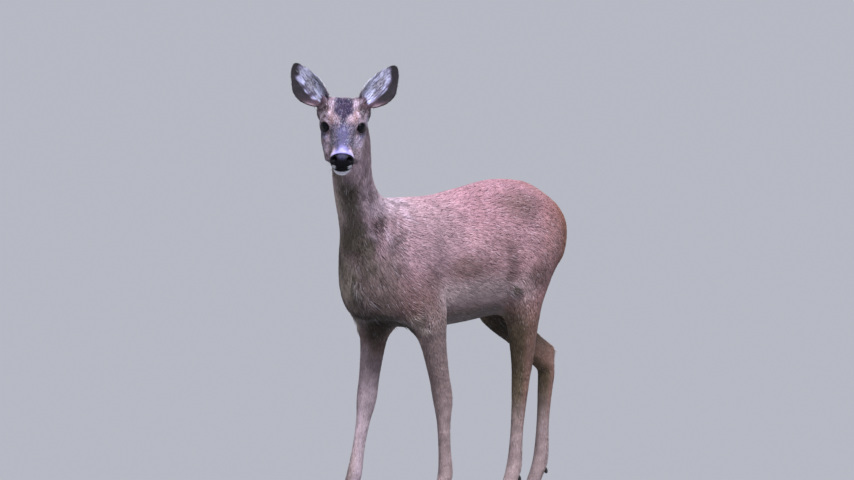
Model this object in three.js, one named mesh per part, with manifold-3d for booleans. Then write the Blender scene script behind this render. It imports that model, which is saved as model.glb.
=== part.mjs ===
// A roe deer doe in her summer coat, life size, standing still in mid-step with her head turned to her left.
// She faces -Y, her left side is +X and +Z is up. All sizes are in millimetres.
//
// The flesh is one smooth body: tubes of flesh along the bones, and muscles on them, run together like clay.
// Each part of her is a net wrapped round its own core line and pressed out to that one surface, so that
// the parts meet exactly where thin cuts divide them. Eyes, nose pad, ears, tail and claws are pieces of
// their own.
import * as THREE from "three";
import { mergeVertices } from "three/addons/utils/BufferGeometryUtils.js";
import Module from "manifold-3d";

const wasm = await Module();
wasm.setup();

// ---- Driving sizes -------------------------------------------------------------------------------
const GAP = 0.3; // left between two parts that touch
const WITHERS = 703; // height of the back over the shoulders
const CROUP = 734; // height of the back over the hips
const BELLY = 418; // height of the belly behind the forelegs
const CHEST = 325; // how far the breast lies in front of the middle of the trunk
const RUMP = 340; // how far the buttocks lie behind it

const HEAD_AT = new THREE.Vector3(136, -494, 877); // midway between the eyes
const HEAD_TURN = 40.5; // degrees that she looks to her left of straight ahead
const HEAD_DROP = 38; // degrees that her nose points below level
const HEAD_LEAN = 1.8; // degrees that her crown leans to her left
const NOSE = 132; // from between the eyes to the tip of the nose
const POLL = 82; // from between the eyes to the back of the skull
const EYE_RADIUS = 13.5;
const EYE_AT = [33.5, -5, 2]; // in the head's frame
const LID = 1.8;
const EAR_LENGTH = 126;
const EAR_WIDTH = 59;
const EAR_THICKNESS = 4.5;

const CLAW_LENGTH = 44;
const CLAW_WIDTH = 15.5;
const CLAW_HEIGHT = 30;
const HEEL_HEIGHT = 17;
const CLEFT = 3; // between the two claws of a foot

const COAT = { color: 0x9a6a4f, roughness: 0.85 };
const COAT_GREY = { color: 0x8b7d78, roughness: 0.85 };
const CREAM = { color: 0xc9b69a, roughness: 0.85 };
const HORN = { color: 0x1c1917, roughness: 0.45 };
const NOSE_PAD = { color: 0x0e0d0f, roughness: 0.3 };
const EYE = { color: 0x120c09, roughness: 0.05 };

// ---- Flesh ---------------------------------------------------------------------------------------
const mix = THREE.MathUtils.lerp;
const rad = THREE.MathUtils.degToRad;
const vector = (p) => new THREE.Vector3(...p);

// A tube of flesh along a smooth core. At each station it is `side` thick to either side, `front` thick
// towards `frontwards` and `back` thick the other way, and it ends in round caps. `blend` is how widely it
// runs into the rest.
class Limb {
  constructor(frontwards, blend, stations) {
    const last = 55;
    const core = new THREE.CatmullRomCurve3(stations.map((s) => vector(s.at)));
    const girths = stations.map((s) => new THREE.Vector3(s.side, s.front, s.back));
    const girth = new THREE.CatmullRomCurve3(girths, false, "catmullrom");
    this.blend = blend;
    this.rings = Array.from({ length: last + 1 }, (_, i) => {
      const along = core.getTangent(i / last);
      const sideways = new THREE.Vector3().crossVectors(along, frontwards).normalize();
      const forwards = new THREE.Vector3().crossVectors(sideways, along).normalize();
      return { at: core.getPoint(i / last), along, sideways, forwards, girth: girth.getPoint(i / last) };
    });
  }

  // How far a point lies outside this tube, negative inside.
  distance(point) {
    const rings = this.rings;
    let nearest = 0;
    let least = Infinity;
    for (let i = 0; i < rings.length; i++) {
      const far = rings[i].at.distanceToSquared(point);
      if (far < least) [least, nearest] = [far, i];
    }
    const ring = rings[nearest];
    const offset = new THREE.Vector3().subVectors(point, ring.at);
    const ahead = offset.dot(ring.along);
    const next = rings[nearest + Math.sign(ahead)] ?? ring;
    const share = next === ring ? 0 : Math.min(0.5, Math.abs(ahead) / next.at.distanceTo(ring.at));
    offset.addScaledVector(ring.at, share).addScaledVector(next.at, -share);
    const x = offset.dot(ring.sideways);
    const y = offset.dot(ring.forwards);
    const out = Math.hypot(x, y) || 1e-6;
    const side = mix(ring.girth.x, next.girth.x, share);
    const deep = y > 0 ? mix(ring.girth.y, next.girth.y, share) : mix(ring.girth.z, next.girth.z, share);
    const radius = out / Math.hypot(x / side, y / deep);
    if (next !== ring) return out - radius;
    const cap = Math.min(side, (ring.girth.y + ring.girth.z) / 2);
    return (Math.hypot(out / radius, ahead / cap) - 1) * Math.min(radius, cap);
  }
}

// An egg of muscle: its radii are along its own axes, which `turn` rotates about X, Y and Z in degrees.
class Muscle {
  constructor(at, radii, turn, blend) {
    this.blend = blend;
    this.radii = vector(radii);
    this.inverse = new THREE.Matrix4()
      .makeRotationFromEuler(new THREE.Euler(...turn.map(rad)))
      .setPosition(vector(at))
      .invert();
  }

  distance(point) {
    const q = point.clone().applyMatrix4(this.inverse).divide(this.radii);
    const near = q.length();
    return (near * (near - 1)) / (q.divide(this.radii).length() || 1e-6);
  }
}

// The same muscle on both sides.
const pair = ([x, y, z], radii, [a, b, c], blend) =>
  [1, -1].map((s) => new Muscle([s * x, y, z], radii, [a, s * b, s * c], blend));

// A shape moved into a frame.
const placed = (frame, shape) => {
  const inverse = frame.clone().invert();
  return { blend: shape.blend, distance: (point) => shape.distance(point.clone().applyMatrix4(inverse)) };
};

const DOWN = new THREE.Vector3(0, 0, -1);
const FORWARD = new THREE.Vector3(0, -1, 0);

// Trunk: `top` and `belly` are the heights of its outline at a place along it, and `side` is half its width.
const trunkStation = (y, top, belly, side, middle) => ({
  at: [0, y, mix(belly, top, middle)],
  side,
  front: (top - belly) * middle,
  back: (top - belly) * (1 - middle),
});
const trunkFlesh = [
  new Limb(DOWN, 0, [
    trunkStation(-CHEST + 62, WITHERS - 84, BELLY + 36, 62, 0.5),
    trunkStation(-225, WITHERS - 28, BELLY + 10, 78, 0.52),
    trunkStation(-160, WITHERS - 1, BELLY - 1, 90, 0.5),
    trunkStation(-85, WITHERS - 3, BELLY - 3, 99, 0.47),
    trunkStation(0, WITHERS + 5, BELLY, 106, 0.47),
    trunkStation(85, CROUP - 10, BELLY + 10, 106, 0.5),
    trunkStation(165, CROUP, BELLY + 34, 99, 0.55),
    trunkStation(225, CROUP - 10, BELLY + 66, 90, 0.55),
    trunkStation(RUMP - 78, CROUP - 38, BELLY + 90, 77, 0.55),
  ]),
  ...pair([62, -200, 556], [34, 60, 116], [-22, 8, 0], 36), // shoulder blade and its muscles
  ...pair([56, -222, 496], [30, 44, 50], [10, 0, 0], 36), // point of the shoulder
  ...pair([70, -166, 474], [27, 50, 46], [20, 0, 0], 32), // upper arm
  new Muscle([0, -260, 504], [44, 48, 62], [-22, 0, 0], 40), // breast
  ...pair([60, 172, 588], [46, 88, 116], [22, 6, 0], 46), // thigh
  ...pair([46, 243, 610], [38, 66, 66], [-10, 0, 0], 36), // buttock
  ...pair([50, 118, 655], [34, 40, 34], [0, 0, 0], 42), // point of the hip
];

// Neck: from deep in the shoulders up to the back of the skull, bending to her left.
const neckFlesh = [
  new Limb(new THREE.Vector3(0.25, -0.9, -0.5), 62, [
    { at: [0, -177, 581], side: 66, front: 98, back: 94 },
    { at: [2, -238, 623], side: 58, front: 82, back: 70 },
    { at: [12, -300, 682], side: 49, front: 60, back: 53 },
    { at: [30, -346, 743], side: 42, front: 48, back: 45 },
    { at: [59, -384, 804], side: 42, front: 44, back: 46 },
    { at: [83, -416, 858], side: 42, front: 46, back: 42 },
    { at: [98, -440, 890], side: 36, front: 36, back: 33 },
  ]),
];

// The head's own frame is laid out as the body's: X to her left, Y to the back of the skull, Z out of the
// forehead.
const headFrame = new THREE.Matrix4()
  .makeRotationFromEuler(new THREE.Euler(rad(HEAD_DROP), rad(HEAD_LEAN), rad(HEAD_TURN), "ZXY"))
  .setPosition(HEAD_AT);
const headStation = (y, top, jaw, side) => ({
  at: [0, y, (top + jaw) / 2],
  side,
  front: (top - jaw) / 2,
  back: (top - jaw) / 2,
});
const headFlesh = [
  new Limb(DOWN, 26, [
    headStation(POLL - 37, 28, -36, 34),
    headStation(20, 33, -54, 40),
    headStation(0, 34, -56, 36),
    headStation(-28, 29, -50, 29),
    headStation(-58, 23, -43, 25.5),
    headStation(-88, 20, -37, 23),
    headStation(20 - NOSE, 15, -32, 21.5),
  ]),
  new Muscle([0, 34, 6], [36, 36, 24], [0, 0, 0], 16), // crown
  ...pair([28, 10, -34], [19, 40, 32], [0, 0, 4], 18), // cheek
  ...pair([26, -32, -42], [14, 42, 20], [0, 0, 4], 18), // jowl
  ...pair([14, -109, -2], [11.5, 18, 14], [0, 0, -6], 10), // wing of the nostril
  new Muscle([0, -108, -30], [19, 15, 12], [0, 0, 0], 8), // lower lip and chin
  ...pair([35, 45, 25], [17, 18, 18], [0, 0, 0], 16), // root of the ear
  ...pair([44, 44, 2], [15, 19, 22], [0, 0, 0], 18),
  ...pair([38, 7, 0], [14, 15, 16], [0, 0, 0], 12), // bony rim behind the eye
  ...pair([37, -30, 3], [10, 18, 13], [0, 0, -20], -9), // hollow in front of the eye
  ...pair(EYE_AT, [EYE_RADIUS + LID, EYE_RADIUS + LID, EYE_RADIUS + LID], [0, 0, 0], 9), // closed lids
  ...pair([31, -1, 18], [14, 17, 6], [0, 24, -16], 12), // brow
].map((shape) => placed(headFrame, shape));

// Legs. Each joint is a place, and its girths are half the leg's thickness sideways, in front and behind.
const foreleg = (joints) =>
  new Limb(FORWARD, 36, [
    { at: joints.elbow, side: 35, front: 42, back: 42 },
    { at: joints.forearm, side: 25, front: 29, back: 30 },
    { at: joints.aboveKnee, side: 21, front: 22, back: 22 },
    { at: joints.knee, side: 22, front: 23.5, back: 22.5 },
    { at: joints.belowKnee, side: 15.5, front: 15, back: 16.5 },
    { at: joints.cannon, side: 12.5, front: 13, back: 14.5 },
    { at: joints.fetlock, side: 16.5, front: 15.5, back: 18 },
    { at: joints.pastern, side: 15, front: 13.5, back: 15 },
    { at: joints.foot, side: 16, front: 15, back: 16 },
  ]);
const hindleg = (joints) => [
  new Limb(FORWARD, 46, [
    { at: joints.hip, side: 44, front: 72, back: 78 },
    { at: joints.stifle, side: 34, front: 42, back: 54 },
    { at: joints.gaskin, side: 26, front: 28, back: 36 },
    { at: joints.aboveHock, side: 19.5, front: 20, back: 22 },
    { at: joints.hock, side: 19.5, front: 20, back: 19 },
    { at: joints.belowHock, side: 16.5, front: 16, back: 17 },
    { at: joints.cannon, side: 13, front: 13.5, back: 14.5 },
    { at: joints.fetlock, side: 17, front: 16, back: 18.5 },
    { at: joints.pastern, side: 15.5, front: 14, back: 15 },
    { at: joints.foot, side: 16, front: 15, back: 16 },
  ]),
  // Heel tendon, from the gaskin down to the point of the hock.
  new Limb(FORWARD, 20, [
    { at: joints.tendon, side: 13, front: 16, back: 12 },
    { at: joints.point, side: 11, front: 16, back: 9 },
  ]),
];

const between = (a, b, share) => a.map((v, i) => mix(v, b[i], share));
// From the fetlock the foot runs down and forward into its claws.
const footJoints = (fetlock) => ({
  fetlock,
  pastern: [fetlock[0], fetlock[1] - 16, 62],
  foot: [fetlock[0], fetlock[1] - 34, 30],
});
// Fills in a leg between the joints that set its pose.
const foreJoints = ({ root, elbow, knee, fetlock }) => ({
  root,
  elbow,
  forearm: between(elbow, knee, 0.34),
  aboveKnee: between(elbow, knee, 0.8),
  knee,
  belowKnee: between(knee, fetlock, 0.26),
  cannon: between(knee, fetlock, 0.6),
  ...footJoints(fetlock),
});
const hindJoints = ({ root, hip, stifle, hock, point, fetlock }) => ({
  root,
  hip,
  stifle,
  gaskin: between(stifle, hock, 0.45),
  aboveHock: between(stifle, hock, 0.82),
  hock,
  belowHock: between(hock, fetlock, 0.22),
  cannon: between(hock, fetlock, 0.6),
  ...footJoints(fetlock),
  tendon: between(stifle, point, 0.5),
  point,
});
// The root is where a leg parts from the trunk, just below the chest or the groin.
const legs = {
  fore_left: foreJoints({
    root: [75, -150, 407],
    elbow: [77, -152, 440],
    knee: [70, -99, 264],
    fetlock: [68, -90, 92],
  }),
  fore_right: foreJoints({
    root: [-75, -165, 407],
    elbow: [-74, -158, 438],
    knee: [-68, -194, 264],
    fetlock: [-66, -240, 92],
  }),
  hind_left: hindJoints({
    root: [75, 150, 424],
    hip: [58, 176, 570],
    stifle: [80, 150, 455],
    hock: [54, 174, 284],
    point: [54, 198, 318],
    fetlock: [50, 156, 94],
  }),
  hind_right: hindJoints({
    root: [-75, 235, 442],
    hip: [-58, 205, 560],
    stifle: [-80, 228, 445],
    hock: [-60, 388, 300],
    point: [-60, 437, 320],
    fetlock: [-58, 366, 94],
  }),
};
const isHind = (leg) => leg.startsWith("hind");
const legFlesh = Object.entries(legs).flatMap(([leg, joints]) =>
  isHind(leg) ? hindleg(joints) : [foreleg(joints)],
);

const flesh = [...trunkFlesh, ...neckFlesh, ...headFlesh, ...legFlesh];

// How far a point lies outside the whole body. Each shape runs into the ones before it, or with a negative
// blend hollows them out.
function outside(point) {
  let all = Infinity;
  for (const shape of flesh) {
    const one = shape.distance(point);
    const sign = shape.blend < 0 ? -1 : 1;
    const meet = Math.max(Math.abs(shape.blend) - Math.abs(all - sign * one), 0);
    const soft = meet && (sign * meet * meet) / (4 * Math.abs(shape.blend));
    all = sign * Math.min(sign * all, one) - soft;
  }
  return all;
}

// ---- Nets ----------------------------------------------------------------------------------------
// Where a straight line from inside the body first leaves it.
function surfaceFrom(start, direction, reach) {
  const step = 6;
  let inner = 0;
  while (inner < reach && outside(start.clone().addScaledVector(direction, inner + step)) < 0) inner += step;
  let outer = inner + step;
  for (let i = 0; i < 9; i++) {
    const middle = (inner + outer) / 2;
    if (outside(start.clone().addScaledVector(direction, middle)) < 0) inner = middle;
    else outer = middle;
  }
  return start.clone().addScaledVector(direction, inner);
}

// A closed net round a core line: a sphere whose rings are strung along the core and pulled out to the
// surface, with the rings near its poles fanned over the core's two ends.
function net({ core, frontwards = FORWARD, around, along, fan = 0.12, reach = 62 }) {
  const line = new THREE.CatmullRomCurve3(core.map(vector));
  const sphere = new THREE.SphereGeometry(1, around, along);
  const knots = sphere.getAttribute("position");
  const knot = new THREE.Vector3();
  for (let i = 0; i < knots.count; i++) {
    knot.fromBufferAttribute(knots, i);
    const turn = Math.atan2(knot.z, knot.x);
    const share = Math.acos(THREE.MathUtils.clamp(knot.y, -1, 1)) / Math.PI;
    const at = THREE.MathUtils.clamp((share - fan) / (1 - 2 * fan), 0, 1);
    const lean = ((Math.max(share - 1 + fan, 0) - Math.max(fan - share, 0)) / fan) * (Math.PI / 2);
    const ahead = line.getTangentAt(at);
    const sideways = new THREE.Vector3().crossVectors(ahead, frontwards).normalize();
    const forwards = new THREE.Vector3().crossVectors(sideways, ahead);
    const direction = ahead
      .multiplyScalar(Math.sin(lean))
      .addScaledVector(sideways, Math.cos(turn) * Math.cos(lean))
      .addScaledVector(forwards, Math.sin(turn) * Math.cos(lean));
    knots.setXYZ(i, ...surfaceFrom(line.getPointAt(at), direction.normalize(), reach));
  }
  return solid(sphere);
}

// ---- Solids --------------------------------------------------------------------------------------
// A closed geometry as a solid, turned right side out.
function solid(geometry) {
  const bare = geometry.clone();
  bare.deleteAttribute("normal");
  bare.deleteAttribute("uv");
  const merged = mergeVertices(bare, 1e-3);
  const corners = Array.from(merged.index.array);
  const triangles = [];
  for (let i = 0; i < corners.length; i += 3) {
    const [a, b, c] = corners.slice(i, i + 3);
    if (a !== b && b !== c && c !== a) triangles.push(a, b, c);
  }
  const vertProperties = merged.getAttribute("position").array;
  const make = () =>
    new wasm.Manifold(new wasm.Mesh({ numProp: 3, vertProperties, triVerts: new Uint32Array(triangles) }));
  const made = make();
  if (made.volume() > 0) return made;
  triangles.reverse();
  return make();
}

// A frame at `at` with Z along `towards`, and X as near as it can be to `across`.
function frameAt(at, towards, across = [1, 0, 0]) {
  const z = vector(towards).normalize();
  const y = new THREE.Vector3().crossVectors(z, vector(across)).normalize();
  const x = new THREE.Vector3().crossVectors(y, z);
  return new THREE.Matrix4().makeBasis(x, y, z).setPosition(vector(at));
}

// A block in front of a plane: it starts `gap` beyond the frame's XY plane and reaches as far as `size` says.
function ahead(frame, size, gap) {
  const box = new THREE.BoxGeometry(...size);
  box.translate(0, 0, size[2] / 2 + gap);
  box.applyMatrix4(frame);
  return solid(box);
}

// Divides two parts along a frame's XY plane, within a block of `size` ahead of it.
function divide(near, far, frame, size) {
  return [near.subtract(ahead(frame, size, -GAP / 2)), far.intersect(ahead(frame, size, GAP / 2))];
}

// An egg-shaped solid in a frame, `grow` larger all round. `taper` widens its top and narrows its foot.
function egg(frame, at, radii, { grow = 0, turn = [0, 0, 0], taper = 0, around = 20, along = 12 } = {}) {
  const shape = new THREE.SphereGeometry(1, around, along);
  shape.rotateX(Math.PI / 2);
  const knots = shape.getAttribute("position");
  for (let i = 0; i < knots.count; i++) knots.setX(i, knots.getX(i) * (1 + taper * knots.getZ(i)));
  shape.scale(...radii.map((r) => r + grow));
  shape.applyMatrix4(new THREE.Matrix4().makeRotationFromEuler(new THREE.Euler(...turn.map(rad))));
  shape.translate(...at);
  shape.applyMatrix4(frame);
  return solid(shape);
}

// The largest body of a solid, without crumbs that a cut may leave.
const whole = (made) => made.decompose().reduce((a, b) => (b.volume() > a.volume() ? b : a));

// ---- Flesh nodes ---------------------------------------------------------------------------------
const nodes = {};
const FAR = [1000, 1000, 1000];
const SIDES = { left: 1, right: -1 };

let trunk = net({
  core: [[0, -215, 560], [0, -90, 566], [0, 40, 576], [0, 160, 592], [0, RUMP - 92, 582]],
  frontwards: DOWN,
  around: 36,
  along: 34,
  fan: 0.21,
  reach: 215,
});
let neck = net({
  core: [[0, -190, 600], [12, -292, 676], [30, -346, 743], [54, -387, 804], [90, -431, 874]],
  around: 20,
  along: 14,
  reach: 110,
});
let head = net({
  core: [[0, 52, 0], [0, 20, -5], [0, -30, -8], [0, 18 - NOSE, -9]].map((p) =>
    vector(p).applyMatrix4(headFrame).toArray(),
  ),
  frontwards: DOWN,
  around: 24,
  along: 26,
  fan: 0.17,
  reach: 96,
});
[trunk, neck] = divide(trunk, neck, frameAt([6, -272, 628], [0.08, -0.74, 0.66]), FAR);
[neck, head] = divide(neck, head, frameAt([99, -428, 862], [0.42, -0.5, 0.76]), FAR);

// ---- Feet ----------------------------------------------------------------------------------------
// One claw of a foot, whose top is centred over the origin: a flat sole, a sloping front wall, a low round
// heel, a nearly flat side towards the cleft and a full outer side, drawn to a point at the toe.
const CORONET = { toe: -15, heel: 17 };
function claw(foot, side) {
  const shape = new THREE.CylinderGeometry(1, 1, 1, 12, 2);
  const knots = shape.getAttribute("position");
  for (let i = 0; i < knots.count; i++) {
    const rise = knots.getY(i) + 0.5;
    const back = (knots.getZ(i) + 1) / 2;
    const out = knots.getX(i);
    const toe = CORONET.toe - (1 - rise) * (CLAW_HEIGHT / Math.tan(rad(52.5)));
    const heel = mix(toe + CLAW_LENGTH, CORONET.heel, rise);
    const bevel = rise < 0.01 ? 0.93 : 1 - 0.06 * rise;
    const wide = CLAW_WIDTH * bevel * (1 - 0.5 * (1 - back) ** 2) * (out > 0 ? 0.72 : 0.28);
    const across = side * (CLEFT / 2 + CLAW_WIDTH * 0.28 + out * wide);
    knots.setXYZ(i, across, mix(toe, heel, back), rise * mix(CLAW_HEIGHT, HEEL_HEIGHT, back));
  }
  shape.translate(foot[0], foot[1], 0);
  return solid(shape);
}

const HERE = new THREE.Matrix4();
for (const [leg, joints] of Object.entries(legs)) {
  const side = SIDES[leg.split("_")[1]];
  const kind = isHind(leg) ? "hind" : "fore";
  const joint = isHind(leg) ? joints.hock : joints.knee;
  const top = isHind(leg) ? joints.stifle : joints.elbow;
  const above = isHind(leg)
    ? [between(joints.hip, top, 0.45), top, joints.gaskin, joints.aboveHock, joint, joints.belowHock]
    : [[top[0], top[1] - 6, top[2] + 42], top, joints.forearm, joints.aboveKnee, joint, joints.belowKnee];
  const { cannon, fetlock, pastern, foot } = joints;
  const below = [...above.slice(-3), cannon, fetlock, pastern, foot, [foot[0], foot[1] - 6, 16]];
  const size = isHind(leg) ? { around: 18, along: 20, reach: 84 } : { around: 14, along: 14, reach: 56 };
  let upper = net({ core: above, ...size });
  let lower = net({ core: below, around: 10, along: 18, fan: 0.08, reach: 40 });

  const root = frameAt(joints.root, [0, isHind(leg) ? 0.32 : 0, -1]);
  trunk = trunk.subtract(ahead(root, [140 + GAP, isHind(leg) ? 230 : 170, 200], -GAP / 2));
  upper = upper.intersect(ahead(root, [140, 1000, 1000], GAP / 2));
  const down = vector(cannon).sub(vector(joint)).toArray();
  [upper, lower] = divide(upper, lower, frameAt(between(joint, above[5], 0.75), down), FAR);

  const slope = [0, HEEL_HEIGHT - CLAW_HEIGHT, CORONET.toe - CORONET.heel];
  const rim = frameAt([foot[0], foot[1] + CORONET.toe, CLAW_HEIGHT], slope);
  lower = lower.subtract(ahead(rim, [80, 120, 80], -GAP));
  for (const [place, inward] of [["inner", -1], ["outer", 1]]) {
    nodes[`claw_${leg}_${place}`] = [claw(foot, side * inward), HORN];
    const at = [fetlock[0] + side * inward * 9.5, fetlock[1] + 7, fetlock[2] - 21];
    const spur = { turn: [24, 0, 0], around: 8, along: 4 };
    nodes[`dewclaw_${leg}_${place}`] = [egg(HERE, at, [5.5, 5, 9.5], spur), HORN];
    lower = lower.subtract(egg(HERE, at, [5.5, 5, 9.5], { ...spur, grow: GAP }));
  }
  nodes[`${kind}leg_${leg.split("_")[1]}`] = [whole(upper), COAT];
  nodes[`${kind}cannon_${leg.split("_")[1]}`] = [whole(lower), COAT_GREY];
}

// ---- Tail ----------------------------------------------------------------------------------------
const TAIL = [[0, RUMP - 10, 640], [14, 13, 27]];
nodes.tail = [egg(HERE, ...TAIL, { turn: [14, 0, 0], around: 10, along: 6 }), CREAM];
trunk = trunk.subtract(egg(HERE, ...TAIL, { turn: [14, 0, 0], around: 10, along: 6, grow: GAP }));

// ---- Head ----------------------------------------------------------------------------------------
const mirrored = (side, [x, ...rest]) => [side * x, ...rest];

// An ear in the head's frame: a leaf rolled up at its root and opening towards its tip, hollow side forwards.
const EAR_ROOT = [34, 38, 22];
const EAR_TOWARDS = [0.607, 0.735, 0.303];
const EAR_ACROSS = [0.727, -0.356, -0.456];
function ear(side) {
  const leaf = new THREE.SphereGeometry(1, 18, 11);
  const knots = leaf.getAttribute("position");
  for (let i = 0; i < knots.count; i++) {
    const along = (1 - knots.getY(i)) / 2;
    const narrow = Math.hypot(knots.getX(i), knots.getZ(i));
    const turn = Math.atan2(knots.getZ(i), knots.getX(i));
    const curl = mix(1.75, 0.5, THREE.MathUtils.smoothstep(along, 0, 0.9));
    const taper = mix(1.42, 0.6, THREE.MathUtils.smoothstep(along, 0.05, 0.95));
    const radius = (0.65 * EAR_WIDTH * narrow * taper) / curl;
    const reach = radius + Math.sin(turn) * EAR_THICKNESS * 0.5 * Math.min(1, 2 * narrow);
    const arc = Math.cos(turn) * curl;
    const bow = 9 * Math.sin(Math.PI * along);
    knots.setXYZ(i, reach * Math.sin(arc) + bow, reach * Math.cos(arc) - radius, along * EAR_LENGTH);
  }
  leaf.applyMatrix4(frameAt(EAR_ROOT, EAR_TOWARDS, EAR_ACROSS));
  leaf.scale(side, 1, 1);
  leaf.applyMatrix4(headFrame);
  return solid(leaf);
}

for (const [name, side] of Object.entries(SIDES)) {
  const root = headFrame.clone().multiply(frameAt(mirrored(side, [41, 47, 26]), mirrored(side, EAR_TOWARDS)));
  let shell = ear(side);
  [head, shell] = divide(head, shell, root, [90, 90, 160]);
  nodes[`ear_${name}`] = [whole(shell), COAT];

  const ball = [EYE_RADIUS, EYE_RADIUS, EYE_RADIUS];
  nodes[`eye_${name}`] = [egg(headFrame, mirrored(side, EYE_AT), ball, { around: 14, along: 8 }), EYE];
  const towards = mirrored(side, [0.6, -0.72, 0.34]);
  const gaze = headFrame.clone().multiply(frameAt(mirrored(side, EYE_AT), towards, [0, 0, 1]));
  head = head.subtract(egg(headFrame, mirrored(side, EYE_AT), ball, { grow: GAP, around: 14, along: 8 }));
  head = head.subtract(egg(gaze, [0, 0, 14], [11, 13.5, 12.5], { around: 14, along: 8 }));
}

// The bare nose pad, wrapped over the tip of the muzzle and pierced by two nostrils.
const PAD = [[0, 13 - NOSE, 3], [24.5, 12, 17]];
const NOSTRIL = [[16.5, 9 - NOSE, 11], [5.8, 11, 5.4]];
const padShape = { turn: [-33, 0, 0], taper: 0.36, around: 16, along: 9 };
let pad = egg(headFrame, ...PAD, padShape);
head = head.subtract(egg(headFrame, ...PAD, { ...padShape, grow: GAP }));
for (const side of [1, -1]) {
  const hole = egg(headFrame, mirrored(side, NOSTRIL[0]), NOSTRIL[1], {
    turn: [-20, side * 28, side * 24],
    around: 8,
    along: 6,
  });
  pad = pad.subtract(hole);
  head = head.subtract(hole);
}
const mouth = { turn: [-11, 0, 0], around: 16, along: 2 };
head = head.subtract(egg(headFrame, [0, 40 - NOSE, -21.5], [34, 46, 0.8], mouth));
nodes.nose = [whole(pad), NOSE_PAD];
nodes.trunk = [whole(trunk), COAT];
nodes.neck = [whole(neck), COAT];
nodes.head = [whole(head), COAT];

// ---- The deer, standing with her claws on Z = 0 and the middle of her box over the origin ------------
function meshOf(name, [made, finish]) {
  const shape = made.getMesh();
  const geometry = new THREE.BufferGeometry()
    .setAttribute("position", new THREE.BufferAttribute(shape.vertProperties, 3))
    .setIndex(new THREE.BufferAttribute(shape.triVerts, 1));
  geometry.computeVertexNormals();
  const mesh = new THREE.Mesh(geometry, new THREE.MeshStandardMaterial(finish));
  mesh.name = name;
  return mesh;
}

const deer = new THREE.Group();
deer.name = "roe_deer";
for (const name of Object.keys(nodes).sort()) deer.add(meshOf(name, nodes[name]));
const middle = new THREE.Box3().setFromObject(deer).getCenter(new THREE.Vector3()).setZ(0);
for (const mesh of deer.children) mesh.geometry.translate(-middle.x, -middle.y, 0);

export default deer;
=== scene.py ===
# %% [markdown]
# # A roe deer doe, life size
#
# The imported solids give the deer's pose and her outline, out to the tips of her coat. This script
# dresses them. One skin is drawn over all the solids of flesh and is then drawn in by the depth of the
# coat. Short tufts of hair grow from it, each lying the way the coat lies there. Eyes, lids, nose pad
# and claws are pieces of their own.
#
# Everything is in metres in the frame of the solids: she faces -Y, her left side is +X and +Z is up.

# %% Load the solids
import math

import bmesh
import bpy
import numpy as np
from mathutils import Matrix, Vector
from mathutils.bvhtree import BVHTree


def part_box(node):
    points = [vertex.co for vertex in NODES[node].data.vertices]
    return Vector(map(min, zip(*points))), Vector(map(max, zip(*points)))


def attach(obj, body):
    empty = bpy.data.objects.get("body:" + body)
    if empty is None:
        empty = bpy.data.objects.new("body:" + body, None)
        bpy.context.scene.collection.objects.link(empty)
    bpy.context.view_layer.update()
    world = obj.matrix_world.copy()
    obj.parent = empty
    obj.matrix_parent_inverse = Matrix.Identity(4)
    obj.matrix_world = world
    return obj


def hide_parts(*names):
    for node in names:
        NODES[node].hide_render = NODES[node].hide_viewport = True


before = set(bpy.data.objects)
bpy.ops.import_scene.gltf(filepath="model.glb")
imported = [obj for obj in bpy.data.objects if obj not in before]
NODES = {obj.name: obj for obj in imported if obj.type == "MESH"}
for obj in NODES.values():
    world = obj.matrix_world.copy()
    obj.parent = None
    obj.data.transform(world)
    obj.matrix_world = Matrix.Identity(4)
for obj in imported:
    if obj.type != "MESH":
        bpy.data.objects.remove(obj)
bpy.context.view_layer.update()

RANDOM = np.random.default_rng(7)

# %% [markdown]
# ## Where things are
#
# A deer is measured from two places. Sizes on the body are in millimetres from the floor under the
# middle of the trunk, and `place` turns them into the frame's metres. The head is turned, lowered and
# leaned on the neck, so it has axes of its own, laid out as the body's are: X to her left, Y to the
# back of the skull and Z out of the forehead, with its origin between the eyes. With such axes a
# marking can be measured on one side and mirrored to the other, however she holds her head.

# %% Frames
MM = 0.001
SIDES = {"left": 1, "right": -1}
HEAD_TURN, HEAD_DROP, HEAD_LEAN = 40.5, 38.0, 1.8  # degrees
HEAD_FROM_TRUNK = np.array((136.0, -494.0, 877.0))
EYE_RADIUS = 13.5
EYE_OUT, EYE_BACK, EYE_UP = 33.5, -5.0, 2.0
EYES = {side: np.array([sign * EYE_OUT, EYE_BACK, EYE_UP]) for side, sign in SIDES.items()}


def unit(v):
    v = np.asarray(v, float)
    return v / np.maximum(np.linalg.norm(v, axis=-1, keepdims=True), 1e-12)


# Turned about Z, then lowered about her own X, then leaned about her own Y.
turn = (
    Matrix.Rotation(math.radians(HEAD_TURN), 3, "Z")
    @ Matrix.Rotation(math.radians(HEAD_DROP), 3, "X")
    @ Matrix.Rotation(math.radians(HEAD_LEAN), 3, "Y")
)
HEAD_AXES = np.array(turn)
BALLS = [np.array(corner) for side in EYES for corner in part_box(f"eye_{side}")]
HEAD_AT = np.mean(BALLS, axis=0) - HEAD_AXES @ (0, EYE_BACK, EYE_UP) * MM
TRUNK_AT = HEAD_AT - HEAD_FROM_TRUNK * MM


def place(points):
    return TRUNK_AT + np.asarray(points, float) * MM


def to_trunk(points):
    return (points - TRUNK_AT) / MM


def from_head(points):
    return HEAD_AT + (np.asarray(points, float) * MM) @ HEAD_AXES.T


def to_head(points):
    return (points - HEAD_AT) @ HEAD_AXES / MM


print("the middle of the trunk is over", np.round(TRUNK_AT, 4))

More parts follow.
